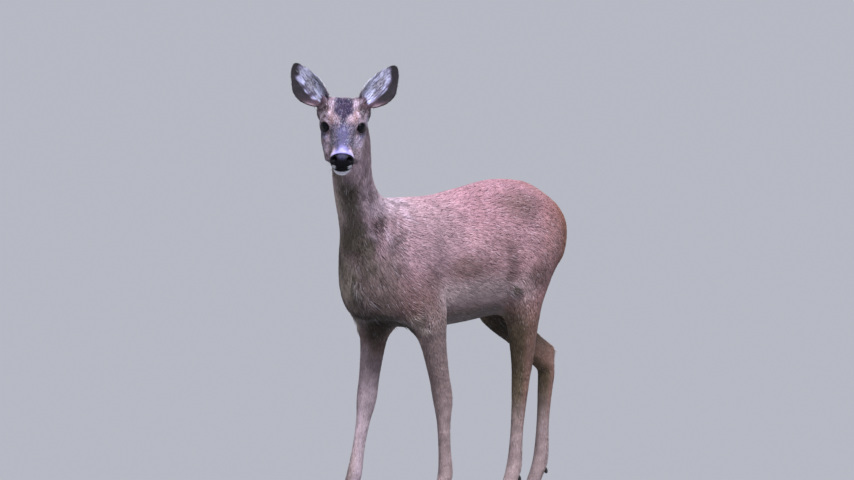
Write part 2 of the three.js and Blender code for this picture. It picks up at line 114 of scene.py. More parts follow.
# %% [markdown]
# ## Lines of the coat
#
# Hair lies along lines: from nose to nape, down the neck, from the shoulders to the rump, down each
# leg, up each ear and down the tail. It could be combed by hand in Blender's particle edit, but a
# script can't do that twice alike. So each line is a row of places with the thickness of the flesh
# round it. The lines also say which part of her a point belongs to, and unwrap each part like a label
# round a bottle.

# %% Lines along which the coat lies
EAR_ROOT, EAR_LENGTH = np.array((34.0, 38.0, 22.0)), 126.0
EAR_TOWARDS = unit((0.607, 0.735, 0.303))
EAR_ACROSS = unit((0.727, -0.356, -0.456))


def mirrored(sign, v):
    return np.asarray(v, float) * np.array((sign, 1, 1))


def in_body(rows):
    rows = np.array(rows, float)
    return place(rows[:, :3]), rows[:, 3] * MM


def in_head(rows):
    rows = np.array(rows, float)
    return from_head(rows[:, :3]), rows[:, 3] * MM


def foot_line(x, y, z):
    """The end of a leg's line, from above the dewclaws down to between the toes."""
    return [(x, y, z, 16), (x, y - 16, 62, 14), (x, y - 34, 30, 15), (x, y - 38, 12, 15)]


LINES = {
    "trunk": in_body(
        [(0, -285, 500, 75), (0, -200, 560, 95), (0, -85, 560, 115), (0, 40, 570, 120)]
        + [(0, 165, 590, 115), (0, 260, 600, 90), (0, 310, 600, 70)]
    ),
    "neck": in_body(
        [(98, -440, 890, 34), (83, -416, 858, 42), (59, -384, 804, 44), (30, -346, 743, 47)]
        + [(12, -300, 682, 56), (4, -262, 640, 66)]
    ),
    "head": in_head(
        [(0, -128, -6, 18), (0, -90, -9, 26), (0, -40, -11, 33), (0, 0, -8, 42), (0, 50, 0, 40)]
    ),
    "tail": in_body([(0, 322, 664, 12), (0, 333, 640, 14), (0, 340, 615, 12)]),
    "fore_left": in_body(
        [(77, -150, 470, 40), (77, -152, 440, 36), (74, -134, 380, 26), (71, -110, 299, 21)]
        + [(70, -99, 264, 23), (69, -95, 190, 14)]
        + foot_line(68, -90, 92)
    ),
    "fore_right": in_body(
        [(-76, -150, 470, 40), (-74, -158, 438, 36), (-72, -170, 379, 26), (-69, -187, 299, 21)]
        + [(-68, -194, 264, 23), (-67, -217, 180, 14)]
        + foot_line(-66, -240, 92)
    ),
    "hind_left": in_body(
        [(66, 168, 530, 62), (80, 150, 455, 48), (68, 161, 378, 34), (58, 170, 314, 23)]
        + [(54, 176, 284, 21), (52, 165, 190, 15)]
        + foot_line(50, 156, 94)
    ),
    "hind_right": in_body(
        [(-66, 208, 520, 62), (-80, 228, 445, 50), (-71, 300, 380, 36), (-63, 362, 326, 25)]
        + [(-60, 390, 300, 22), (-59, 376, 190, 15)]
        + foot_line(-58, 366, 94)
    ),
}
EAR_GIRTHS = {0.12: 16, 0.4: 22, 0.7: 18, 1.0: 8}  # share of the ear's length, and half its width there
for side, sign in SIDES.items():
    LINES[f"ear_{side}"] = in_head(
        [(*mirrored(sign, EAR_ROOT + EAR_TOWARDS * EAR_LENGTH * up), r) for up, r in EAR_GIRTHS.items()]
    )
PARTS = list(LINES)


def along_lines(points):
    """How near each part's line is, in thicknesses, which way it runs there, and how far along that is."""
    near = np.full((len(points), len(PARTS)), np.inf)
    way = np.zeros((len(points), len(PARTS), 3))
    run = np.zeros((len(points), len(PARTS)))
    for k, name in enumerate(PARTS):
        knots, girth = LINES[name]
        walked = 0.0
        for a, b, ra, rb in zip(knots[:-1], knots[1:], girth[:-1], girth[1:]):
            step = b - a
            share = np.clip((points - a) @ step / (step @ step), 0, 1)
            gap = np.linalg.norm(points - a - share[:, None] * step, axis=1) / (ra + share * (rb - ra))
            closer = gap < near[:, k]
            near[closer, k] = gap[closer]
            way[closer, k] = unit(step)
            run[closer, k] = walked + share[closer] * np.linalg.norm(step)
            walked += np.linalg.norm(step)
    return near, way, run


print("lines:", ", ".join(f"{name} ({len(line[0])} places)" for name, line in LINES.items()))

# %% [markdown]
# ## Skin
#
# A living deer has one unbroken hide, and the solids of flesh are fourteen separate shapes with facets.
# Boolean unions would keep every crease between them. So copies are swollen by a hair's breadth to run
# into each other, and a voxel remesh, which draws a surface as if with tiny blocks, makes one closed
# skin round the lot. A filler ball in each eye socket keeps the lids thick there. Smoothing then takes
# the facets away, more on the body than on the legs and hardly at all on the head.

# %% Meshes and modifiers
def merged_copy(name, swell=0.0):
    """A CAD node's shape with its loose triangles joined up, swollen along its normals."""
    bm = bmesh.new()
    bm.from_mesh(NODES[name].data)
    bmesh.ops.remove_doubles(bm, verts=bm.verts, dist=1e-6)
    bmesh.ops.recalc_face_normals(bm, faces=bm.faces)
    bm.normal_update()
    if swell:
        moved = [v.co + v.normal * swell * MM for v in bm.verts]
        for v, co in zip(bm.verts, moved):
            v.co = co
    return bm


def mesh_from(bm, name, smooth=False):
    """Turns a bmesh into a mesh of the scene's, and lets go of it."""
    mesh = bpy.data.meshes.new(name)
    bm.to_mesh(mesh)
    bm.free()
    if smooth:
        mesh.shade_smooth()
    return mesh


def new_object(name, mesh, material=None):
    obj = bpy.data.objects.new(name, mesh)
    bpy.context.scene.collection.objects.link(obj)
    if material:
        mesh.materials.append(material)
    return obj


def with_modifiers(obj):
    """Makes an object's modifiers part of its mesh."""
    graph = bpy.context.evaluated_depsgraph_get()
    mesh = bpy.data.meshes.new_from_object(obj.evaluated_get(graph))
    old = obj.data
    obj.modifiers.clear()
    obj.data = mesh
    bpy.data.meshes.remove(old)


def voxel_skin(obj, size):
    remesh = obj.modifiers.new("voxels", "REMESH")
    remesh.mode = "VOXEL"
    remesh.voxel_size = size * MM
    with_modifiers(obj)


# %% Whole meshes as arrays
def coordinates(mesh):
    co = np.empty(len(mesh.vertices) * 3, np.float32)
    mesh.vertices.foreach_get("co", co)
    return co.reshape(-1, 3).astype(float)


def set_coordinates(mesh, points):
    mesh.vertices.foreach_set("co", points.astype(np.float32).ravel())
    mesh.update()


def normals(mesh):
    out = np.empty(len(mesh.vertices) * 3, np.float32)
    mesh.vertex_normals.foreach_get("vector", out)
    return out.reshape(-1, 3).astype(float)


def edges_of(mesh):
    out = np.empty(len(mesh.edges) * 2, np.int32)
    mesh.edges.foreach_get("vertices", out)
    return out.reshape(-1, 2)


def smoothed(values, edges, rounds, strength):
    """Draws each value towards the mean of its neighbours, over and over."""
    a, b = edges.T
    count = np.bincount(a, minlength=len(values)) + np.bincount(b, minlength=len(values))
    count = np.maximum(count, 1)[:, None]
    strength = np.broadcast_to(np.asarray(strength, float).reshape(-1, 1), (len(values), 1))
    for _ in range(rounds):
        total = np.empty_like(values)
        for axis in range(values.shape[1]):
            column = values[:, axis]
            total[:, axis] = np.bincount(a, column[b], len(values)) + np.bincount(b, column[a], len(values))
        values = values + strength * (total / count - values)
    return values


def smoothstep(low, high, x):
    t = np.clip((x - low) / (high - low), 0, 1)
    return t * t * (3 - 2 * t)


# %% Draw one surface round the flesh
FLESH = ["trunk", "neck", "head", "tail", "ear_left", "ear_right"]
FLESH += [f"{part}_{side}" for part in ("foreleg", "forecannon", "hindleg", "hindcannon") for side in SIDES]
VOXEL = 1.7
SWELL, EAR_SWELL = 0.35, 0.9
FILLER_RADIUS = 12.6

joined = bmesh.new()
for name in FLESH:
    swollen = merged_copy(name, EAR_SWELL if name.startswith("ear") else SWELL)
    mesh = mesh_from(swollen, "swollen")
    joined.from_mesh(mesh)
    bpy.data.meshes.remove(mesh)
for at in EYES.values():
    ball = bmesh.ops.create_uvsphere(joined, u_segments=24, v_segments=16, radius=FILLER_RADIUS * MM)
    bmesh.ops.translate(joined, verts=ball["verts"], vec=Vector(from_head(at)))
skin = new_object("skin", mesh_from(joined, "skin"))
voxel_skin(skin, VOXEL)
print("voxels drew", len(skin.data.vertices), "points")


# %% Which part each point belongs to
IS = {name: k for k, name in enumerate(PARTS)}
LEGS = ("fore_left", "fore_right", "hind_left", "hind_right")
SHARP = 9.0  # the higher, the narrower the blend from one part to the next


def weights_of(near):
    """How far each point belongs to each part; the shares of a point sum to 1."""
    share = np.exp(-SHARP * (near - near.min(1, keepdims=True)))
    return share / share.sum(1, keepdims=True)


def survey(points):
    """Everything the lines say about each point, and the point as seen from the head."""
    near, way, run = along_lines(points)
    return {"near": near, "way": way, "run": run, "share": weights_of(near), "local": to_head(points)}


def part_of(about, *names):
    """How far each surveyed point belongs to the named parts, from 0 to 1."""
    return sum(about["share"][:, IS[name]] for name in names)


points = smoothed(coordinates(skin.data), edges_of(skin.data), 4, 0.5)
set_coordinates(skin.data, points)
FINE_MIDDLE, FINE_RADII = (0, 20, 10), (150, 160, 150)  # an egg round the head, in its own millimetres
far = np.linalg.norm((to_head(points) - FINE_MIDDLE) / FINE_RADII, axis=1)
detail = (1 - smoothstep(0.85, 1.0, far)) * smoothstep(0.68, 0.76, points[:, 2])
print("points drawn on the head:", int((detail > 0.5).sum()))

# %% Fewer triangles on the body than on the head
SKIN_TRIANGLES = 176_000
LEVELS = 10

group = skin.vertex_groups.new(name="coarse")
for level in range(1, LEVELS + 1):
    chosen = np.flatnonzero(np.round((1 - 0.9 * detail) * LEVELS) == level)
    group.add([int(i) for i in chosen], level / LEVELS, "REPLACE")
faces = sum(len(p.vertices) - 2 for p in skin.data.polygons)
decimate = skin.modifiers.new("fewer", "DECIMATE")
decimate.ratio = SKIN_TRIANGLES / faces
decimate.vertex_group = group.name
decimate.use_collapse_triangulate = True
with_modifiers(skin)
print("skin:", faces, "triangles before,", len(skin.data.polygons), "after")
skin.vertex_groups.clear()


# %% Smooth the facets away
LIGHT_ROUNDS, BODY_ROUNDS, RETURN_ROUNDS = 6, 30, 60
HOCK_ROUNDS, HOCK_RADIUS = 8, 0.026


def drop_crumbs(mesh):
    """Removes every shell but the largest."""
    bm = bmesh.new()
    bm.from_mesh(mesh)
    unseen, shells = set(bm.verts), []
    while unseen:
        shell, edge = set(), {unseen.pop()}
        while edge:
            shell |= edge
            unseen -= edge
            edge = {e.other_vert(v) for v in edge for e in v.link_edges} & unseen
        shells.append(shell)
    shells.sort(key=len)
    extra = [v for shell in shells[:-1] for v in shell]
    bmesh.ops.delete(bm, geom=extra, context="VERTS")
    bm.to_mesh(mesh)
    bm.free()
    return len(shells) - 1


print("crumbs removed:", drop_crumbs(skin.data))
points, edges = coordinates(skin.data), edges_of(skin.data)
about = survey(points)
slim = part_of(about, *LEGS)
thick = part_of(about, "trunk") + 0.8 * part_of(about, "neck")
thick = thick + slim * smoothstep(0.30, 0.42, points[:, 2])
on_head = part_of(about, "head")
muzzle = smoothstep(-80, -100, about["local"][:, 1])
faceted = points
everywhere = np.clip(thick + slim + 0.5 * on_head * (1 - 0.8 * muzzle), 0, 1)
points = smoothed(points, edges, LIGHT_ROUNDS, 0.5 * everywhere)
points = smoothed(points, edges, BODY_ROUNDS, 0.5 * np.clip(thick, 0, 1) ** 2)
points = points + smoothed(faceted - points, edges, RETURN_ROUNDS, 0.5)  # gives back what was taken off
HOCKS = place([(-60, 430, 320), (54, 192, 318), (-60, 388, 292), (54, 172, 284)])
for at in HOCKS:
    near_hock = np.exp(-((np.linalg.norm(points - at, axis=1) / HOCK_RADIUS) ** 2))
    points = smoothed(points, edges, HOCK_ROUNDS, 0.5 * near_hock)
set_coordinates(skin.data, points)
print("smoothed", len(points), "points")

# %% [markdown]
# ## Form under the coat
#
# Shoulder blade, ribs, folds of skin and the bones of the face show through a deer's short coat.
# Sculpting would be the usual way in Blender, but here each form is a short line with a width and a
# height, which can be measured and mirrored. The skin is first drawn in by the depth of the coat, so
# that the tips of the hair come out to the solids again. The lids are drawn onto the eyeballs last: the
# skin stands clear of the ball outside the opening and sinks behind it inside.

# %% Finer triangles round the eyes
FINER_WITHIN = 20.0

mesh = skin.data
bm = bmesh.new()
bm.from_mesh(mesh)
for at in EYES.values():
    middle = Vector(from_head(at))
    around = [f for f in bm.faces if (f.calc_center_median() - middle).length < FINER_WITHIN * MM]
    rims = list({e for f in around for e in f.edges})
    bmesh.ops.subdivide_edges(bm, edges=rims, cuts=1, use_grid_fill=True)
bmesh.ops.triangulate(bm, faces=bm.faces)
bm.to_mesh(mesh)
bm.free()
print("skin:", len(mesh.polygons), "triangles")


# %% Draw the skin in by the depth of the coat
LEG_DEPTH, THIGH_DEPTH = 1.8, 2.2  # the second is added where a leg joins the body
DEPTH = {"trunk": 4.4, "neck": 5.0, "head": 1.4, "tail": 3.0, "ear_left": 0.8, "ear_right": 0.8}
edges = edges_of(mesh)
points = coordinates(mesh)
about = survey(points)
depth = sum(about["share"][:, k] * DEPTH.get(name, LEG_DEPTH) for k, name in enumerate(PARTS))
depth += part_of(about, *LEGS) * THIGH_DEPTH * smoothstep(0.36, 0.46, points[:, 2])
depth = smoothed(depth[:, None], edges, 10, 0.5)[:, 0]
outward = unit(smoothed(normals(mesh), edges, 3, 0.5))
points = points - outward * (depth * MM)[:, None]
print("drawn in by", np.round(depth.min(), 1), "to", np.round(depth.max(), 1), "mm")


# %% Raise bones and tendons, and sink folds
def ridge(points, outward, a, b, width, height):
    """Raises the skin along the line from a to b, or sinks it where the height is negative."""
    step = b - a
    share = np.clip((points - a) @ step / (step @ step + 1e-12), 0, 1)
    far = np.linalg.norm(points - a - share[:, None] * step, axis=1)
    return points + outward * (height * MM * np.exp(-((far / (width * MM)) ** 2)))[:, None]


# Each form runs from one place to another, and has a width and a height, less than 0 where it is sunk.
BODY_FORM = [
    ((86, 86, 512), (80, 92, 450), 9, -4.0),  # fold in front of the stifle
    ((96, 92, 640), (98, 70, 600), 26, -3.0),  # hollow of the flank
    ((104, 86, 600), (98, 90, 520), 11, -3.0),
    ((80, 124, 702), (92, 158, 668), 20, -2.5),  # hollow beside the hip
    ((84, -108, 500), (82, -112, 440), 9, -3.0),  # fold behind the elbow
    ((60, -150, 640), (76, -214, 520), 9, 2.0),  # spine of the shoulder blade
    ((60, -112, 640), (82, -120, 540), 12, -2.0),  # behind the shoulder
    ((62, -262, 520), (50, -292, 470), 12, -2.5),  # in front of the shoulder
    ((70, 238, 640), (66, 262, 540), 9, -2.0),  # between thigh and buttock
    ((30, 170, 728), (22, 300, 672), 12, 1.5),  # beside the croup
]
RIBS = [((100, y, 620), (94, y - 22, 500), 6, 1.0) for y in range(-70, 90, 26)]

FACE_FORM = [
    ((31, -13, 19), (32, 6, 21), 5, 1.3),  # brow
    ((0, -14, 34), (0, 10, 38), 9, -1.0),  # hollow between the brows
    ((41, -3, -13), (33, -38, -16), 5, 1.2),  # cheekbone
    ((26, -50, 0), (22, -84, -6), 7, -1.6),  # hollow along the muzzle
    ((10, -30, 30), (9, -84, 20), 4, 0.8),  # edge of the nose bridge
    ((32, -23, -3), (26, -33, -6), 1.6, -1.8),  # slit of the gland in front of the eye
    ((22, -56, -28), (15, -108, -18.5), 1.4, -1.6),  # line of the mouth
    ((15, -108, -18.5), (0, -124, -15.5), 1.4, -1.6),
    ((21, -64, -33), (14, -108, -24), 3.5, 0.8),  # lower lip
    ((18, -104, -11), (11, -118, -11), 3.5, 0.8),  # upper lip below the nostril
    ((20, -104, 8), (17, -116, -8), 3, 0.8),  # wing of the nostril
]
for forms, to_frame in ((BODY_FORM + RIBS, place), (FACE_FORM, from_head)):
    for a, b, width, height in forms:
        for sign in SIDES.values():
            start, end = to_frame([mirrored(sign, a), mirrored(sign, b)])
            points = ridge(points, outward, start, end, width, height)
print(len(BODY_FORM + RIBS), "forms on each side of the body and", len(FACE_FORM), "on the face")

# %% Draw the lids onto the eyeballs
LID, SUNK = 1.5, 1.6  # how far the lids stand off the ball, and how far the skin sinks inside the opening
LID_REACH = 26.0
CREASE_HEIGHT, CREASE_FROM_EDGE, CREASE_WIDTH = 0.7, 0.16, 0.07  # of the upper lid, above its edge
GAZE = {side: unit(mirrored(sign, (0.6, -0.72, 0.34))) for side, sign in SIDES.items()}


def eye_axes(side):
    """Along the gaze, across to the front corner of the eye, and up, in the head's frame."""
    ahead = GAZE[side]
    inward = unit(np.cross(ahead, (0, 0, 1)) * -SIDES[side])
    return ahead, inward, unit(np.cross(ahead, inward) * SIDES[side])


def opening(angle):
    """The angle from the gaze to the lids' edge, at an angle from the front corner over the top."""
    wide, high, front_corner, back_corner, narrow = 0.88, 0.78, 0.12, 0.05, 0.3
    oval = 1 / np.hypot(np.cos(angle) / wide, np.sin(angle) / high)
    front = front_corner * np.exp(-((angle / narrow) ** 2))
    return oval + front + back_corner * np.exp(-(((np.abs(angle) - np.pi) / narrow) ** 2))


def around_eye(local, side):
    """Each place's way and distance from the eyeball's middle, and its angles.

    The angles are those off the lids' edge, off the gaze, and round the gaze from the front corner.
    """
    ahead, inward, above = eye_axes(side)
    arm = local - EYES[side]
    reach = np.linalg.norm(arm, axis=1)
    heading = arm / np.maximum(reach, 1e-6)[:, None]
    off_gaze = np.arccos(np.clip(heading @ ahead, -1, 1))
    angle = np.arctan2(heading @ above, heading @ inward)
    return heading, reach, off_gaze - opening(angle), off_gaze, angle


for side in SIDES:
    heading, reach, off, off_gaze, angle = around_eye(to_head(points), side)
    lid = EYE_RADIUS - SUNK + smoothstep(-0.06, 0.10, off) * (SUNK + LID)
    crease = np.exp(-(((off - CREASE_FROM_EDGE) / CREASE_WIDTH) ** 2))
    lid += CREASE_HEIGHT * crease * (np.sin(angle) > -0.3)
    near_eye = (1 - smoothstep(1.15, 1.65, off_gaze)) * (reach < LID_REACH)
    wanted = lid + np.maximum(reach - lid, 0) * smoothstep(0.05, 0.75, off)
    points = points + (heading * ((wanted - reach) * near_eye * MM)[:, None]) @ HEAD_AXES.T
    print(f"{side} lids drawn over", int((near_eye > 0).sum()), "points")
set_coordinates(mesh, points)
outward = unit(smoothed(normals(mesh), edges, 2, 0.5))

# %% [markdown]
# ## Which way the hair lies
#
# A coat lies in one sweep from the nose backwards, which lets rain run off. Every point of the skin
# takes the way of the lines nearest to it. On the body the hair also slopes down the sides, on the
# breast it falls between the forelegs, and on the rump it falls towards the hocks. Where she moults the
# coat turns in small whorls, and loose pale locks stand out there.

# %% Lie of the coat
# Each whorl's place and its width.
WHORLS = [(95, 88, 496, 13), (-95, 88, 496, 13), (17, -318, 522, 14), (31, -304, 497, 14)]
WHORLS += [(82, -222, 456, 15), (-82, -222, 456, 15), (91, -184, 426, 15), (-91, -184, 426, 15)]


def loose_locks(points):
    """How far each place lies in one of the whorls, from 0 to 1, and its way from the whorl's middle."""
    share, turned = np.zeros(len(points)), np.zeros((len(points), 3))
    for *at, wide in WHORLS:
        arm = points - place(at)
        own = np.exp(-((np.linalg.norm(arm, axis=1) / (wide * MM)) ** 2))
        turned[own > share] = unit(arm)[own > share]
        share = np.maximum(share, own)
    return share, turned


about = survey(points)
lie = np.einsum("nk,nkc->nc", about["share"], about["way"])
y = to_trunk(points)[:, 1]
z = points[:, 2] / MM
down_sides = 0.5 * np.abs(outward[:, 0])
down_rump, down_breast = 1.2 * smoothstep(190, 300, y), 1.3 * smoothstep(-200, -280, y)
lie[:, 2] -= part_of(about, "trunk") * (down_sides + down_rump + down_breast)
lie[:, 1] += part_of(about, *LEGS) * 0.35 * smoothstep(380, 500, z)
lie = lie - outward * np.sum(lie * outward, axis=1, keepdims=True)
lie = unit(smoothed(unit(lie), edges, 20, 0.6))
loose, turned = loose_locks(points)
lie = unit(lie + 0.7 * loose[:, None] * np.cross(outward, turned))
print("hair on the back lies towards", np.round(lie[z.argmax()], 2))

# %% [markdown]
# ## Markings
#
# She is moulting from winter grey to summer red, so no two places are quite alike. An image texture
# would have to be fitted to the skin and again to every tuft. Instead one function gives the coat's
# colour at any place, and both the skin and the tufts take it, so that they match. It lays named
# colours over each other by soft-edged masks. Streaks and blotches come from sums of waves that run in
# seeded directions. Some of the masks lay painted shade, in hollows and folds, under the chin and the
# belly, down the throat and between the legs, and one lays painted light on the right foreleg.


# %% Masks
WAVES = 9


def mirror_of(points):
    """The places, with those of her right side folded over onto the left."""
    folded = points.copy()
    folded[:, 0] = np.abs(folded[:, 0])
    return folded


def waves(points, size, seed, stretch=(1, 1, 1)):
    """Smooth blotches about `size` millimetres across, from -1 to 1."""
    rng = np.random.default_rng(seed)
    total = np.zeros(len(points))
    for _ in range(WAVES):
        towards = unit(rng.normal(size=3))
        towards = towards * (0.6 + 0.8 * rng.random()) * np.asarray(stretch) / (size * MM)
        total += np.sin(points @ (towards * 2.2) + rng.random() * 6.28)
    return np.clip(total / 3.4, -1, 1)


def spot(local, at, radii, soft=0.5):
    """An egg-shaped patch, with a radius for each axis."""
    far = np.linalg.norm((local - np.asarray(at, float)) / np.asarray(radii, float), axis=1)
    return 1 - smoothstep(1 - soft, 1 + soft, far)


def capsule(local, a, b, radius, soft=0.5):
    """A band of colour from a to b."""
    a, b = np.asarray(a, float), np.asarray(b, float)
    step = b - a
    share = np.clip((local - a) @ step / (step @ step), 0, 1)
    far = np.linalg.norm(local - a - share[:, None] * step, axis=1) / radius
    return 1 - smoothstep(1 - soft, 1 + soft, far)


# %% Colours of the coat
def linear(code):
    """A colour written as RRGGBB, as the shader wants it."""
    c = np.array([int(code[i : i + 2], 16) for i in (0, 2, 4)]) / 255
    return np.where(c <= 0.04045, c / 12.92, ((c + 0.055) / 1.055) ** 2.4)


COLOURS = {
    "back": "967078",
    "saddle": "9B7D84",
    "under": "AE989A",
    "front": "B0A196",
    # a dark olive used as painted shade
    "olive_shade": "3A3629",
    "shadow": "2A2820",
    "flank": "9D7A7F",
    "low": "6D5553",
    "belly": "6E6462",
    "rump": "7A4424",
    "neck": "B9A0AA",
    "neck_dark": "3A2F2E",
    "neck_pale": "BBA6B4",
    "breast": "685A57",
    "leg": "877472",
    "lit_shin": "C2ACB5",
    "hind_front": "5C4E3E",
    # painted shade in hollows of the body
    "hollow_shade": "503D3C",
    "throat": "564F45",
    "leg_low": "9A8685",
    "hind": "84655A",
    "inner_hind_shade": "4A4338",
    "inner": "A8969E",
    "cream": "CDBBA8",
    "cheek": "8C7782",
    "face_side": "453A52",
    "forehead": "281D38",
    "brow": "AC96A6",
    "peach": "92706F",
    "bridge": "514C69",
    "muzzle": "A9A2DE",
    "pale": "8A82A2",
    "white": "E4E4F0",
    "black": "131219",
    "jaw": "A28A93",
    "dark": "241C1C",
    "ear_back": "6B5850",
    "ear_inner": "ABABCB",
    "ear_shade": "3A2E3C",
    "ear_rim": "1E1A1D",
    "ear_base": "48343A",
}
C = {name: linear(code) for name, code in COLOURS.items()}


def lay(base, *coats):
    """Lays named colours over the base one after another, each with its own mask."""
    for name, mask in coats:
        base = base + np.clip(mask, 0, 1)[:, None] * (C[name] - base)
    return base


def over(base, share, colours):
    """Lays colours over the base where a part of her is."""
    return base + share[:, None] * (colours - base)


print(len(C), "colours")


# %% Colours of the face
def face_colours(local):
    """Colours of the head at places in its own frame."""
    mirror = mirror_of(local)
    hx, hy, hz = mirror.T
    speckle = waves(local * MM, 5, 11)
    mottle = waves(local * MM, 11, 12)
    bridge = 3 + 10 * smoothstep(-14, -56, hy) + 2 * speckle
    bridge = smoothstep(bridge + 5, bridge - 4, hx) * smoothstep(-12, -36, hy) * smoothstep(-2, 10, hz)
    cap = 22 - 17 * smoothstep(14, -24, hy) - 4 * smoothstep(34, 50, hy) + 2 * speckle
    cap = smoothstep(cap + 4, cap - 4, hx) * smoothstep(-44, -20, hy) * smoothstep(62, 52, hy)
    wedge = hy + 0.45 * hx + 3 * speckle
    mouth = -28 + (-56 - hy) * 9.5 / 52
    lip = smoothstep(mouth + 14, mouth + 10, hz) * smoothstep(mouth - 2, mouth, hz)
    face = lay(
        np.tile(C["cheek"], (len(local), 1)),
        ("jaw", 0.8 * smoothstep(-22, -42, hz) * smoothstep(-95, -75, hy)),
        ("pale", 0.4 * smoothstep(0.1, 0.8, mottle) * smoothstep(20, 0, hz)),
        ("face_side", capsule(mirror, (19, -34, 16), (18, -70, 9), 15, 0.35) * (0.85 + 0.25 * speckle)),
        ("ear_base", capsule(mirror, (38, 8, 24), (46, 38, 24), 12)),
        ("bridge", bridge),
        ("peach", (0.65 + 0.35 * speckle) * capsule(mirror, (31, 14, 28), (23, -16, 22), 5.6)),
        ("peach", (0.15 + 0.35 * speckle) * capsule(mirror, (23, -18, 22), (16, -26, 23), 3.4)),
        ("forehead", cap * (0.95 + 0.05 * speckle)),
        ("brow", capsule(mirror, (26, 34, 34), (27.5, 25, 33), 5.0)),
        ("brow", (0.7 + 0.3 * speckle) * capsule(mirror, (31, 12, 29), (33, 2, 24), 4.5)),
        ("dark", 0.8 * capsule(mirror, (31, -10, 22), (33, -15, 18), 2.6)),
        ("pale", 0.8 * capsule(mirror, (38, -24, -13), (43, -8, -20), 7)),
        ("ear_rim", 0.5 * capsule(mirror, (30, -26, -3), (27, -40, -6), 3.0)),
        ("muzzle", smoothstep(-82, -108, wedge) * smoothstep(-6, 4, hz) * smoothstep(25, 20, hx)),
        ("white", 0.15 * capsule(mirror, (17, -94, 9), (21, -112, 6), 3.0)),
        ("white", smoothstep(mouth + 1, mouth - 2, hz) * smoothstep(-88, -104, hy)),
        ("black", lip * smoothstep(-92, -106, hy)),
        ("black", capsule(mirror, (23, -106, -6), (20, -120, -3), 6.5, 0.3)),
        ("dark", 0.8 * capsule(mirror, (22, -58, -28), (15, -108, -18.5), 2.4)),
        ("white", spot(mirror, (16, -127, -7), (4.4, 9, 4.6), 0.3)),
    )
    for side in SIDES:
        _, reach, off, _, _ = around_eye(local, side)
        face = lay(face, ("dark", (1 - smoothstep(0.04, 0.16, off)) * (reach < 24)))
    return face


# %% Colours of the ears
EAR_HALF_WIDTH = 25.5
# The hair in the left ear's hollow is painted darker than in the right, as painted shade.
EAR_LIGHT = {"left": 0.8, "right": 0.95}  # how pale the hair in each ear's hollow is


def on_ear(local, side):
    """How far up the ear each place is, from 0 to 1, and how far out across it, from -1 to 1."""
    arm = local - mirrored(SIDES[side], EAR_ROOT)
    length = arm @ mirrored(SIDES[side], EAR_TOWARDS) / EAR_LENGTH
    width = EAR_HALF_WIDTH * np.clip(4 * length * (1 - length), 0.02, 1) ** 0.4
    return length, arm @ mirrored(SIDES[side], EAR_ACROSS) / width


def in_hollow(outward, side):
    """How far each place is on the hollow side of the ear, from 0 to 1, by the way it faces."""
    sign = SIDES[side]
    hollow = -np.cross(mirrored(sign, EAR_TOWARDS), mirrored(sign, EAR_ACROSS)) * sign
    return smoothstep(-0.1, 0.35, (outward @ HEAD_AXES) @ hollow)


def ear_colours(local, outward, side):
    length, across = on_ear(local, side)
    within = in_hollow(outward, side)
    mottle = waves(local * MM, 9, 13)
    streak = waves(np.stack([length * 0.035, across * 0.1, 0 * across], 1), 9, 14)
    root = smoothstep(0.32, 0.16, length - 0.12 * across) * smoothstep(-0.1, 0.5, across)
    lit = smoothstep(0.9, 0.4, across + 0.3 * mottle) * smoothstep(0.06, 0.14, length)
    tip = 0.84 - 0.10 * np.clip(across, -1, 1)
    outer_rim = smoothstep(0.7, 0.88, across + 0.05 * mottle) * smoothstep(0.15, 0.35, length)
    return lay(
        np.tile(C["ear_back"], (len(local), 1)),
        ("ear_shade", within),
        ("ear_base", 0.7 * root),
        ("ear_inner", EAR_LIGHT[side] * within * lit * smoothstep(1.0, 0.45, length)),
        ("ear_shade", 0.85 * within * smoothstep(0.1, 0.6, streak + 0.3 * mottle)),
        ("white", 0.6 * smoothstep(-0.7, -0.85, across) * smoothstep(0.1, 0.2, length)),
        ("ear_rim", smoothstep(tip - 0.05, tip + 0.04, length + 0.05 * mottle)),
        ("ear_rim", 0.9 * outer_rim),
    )


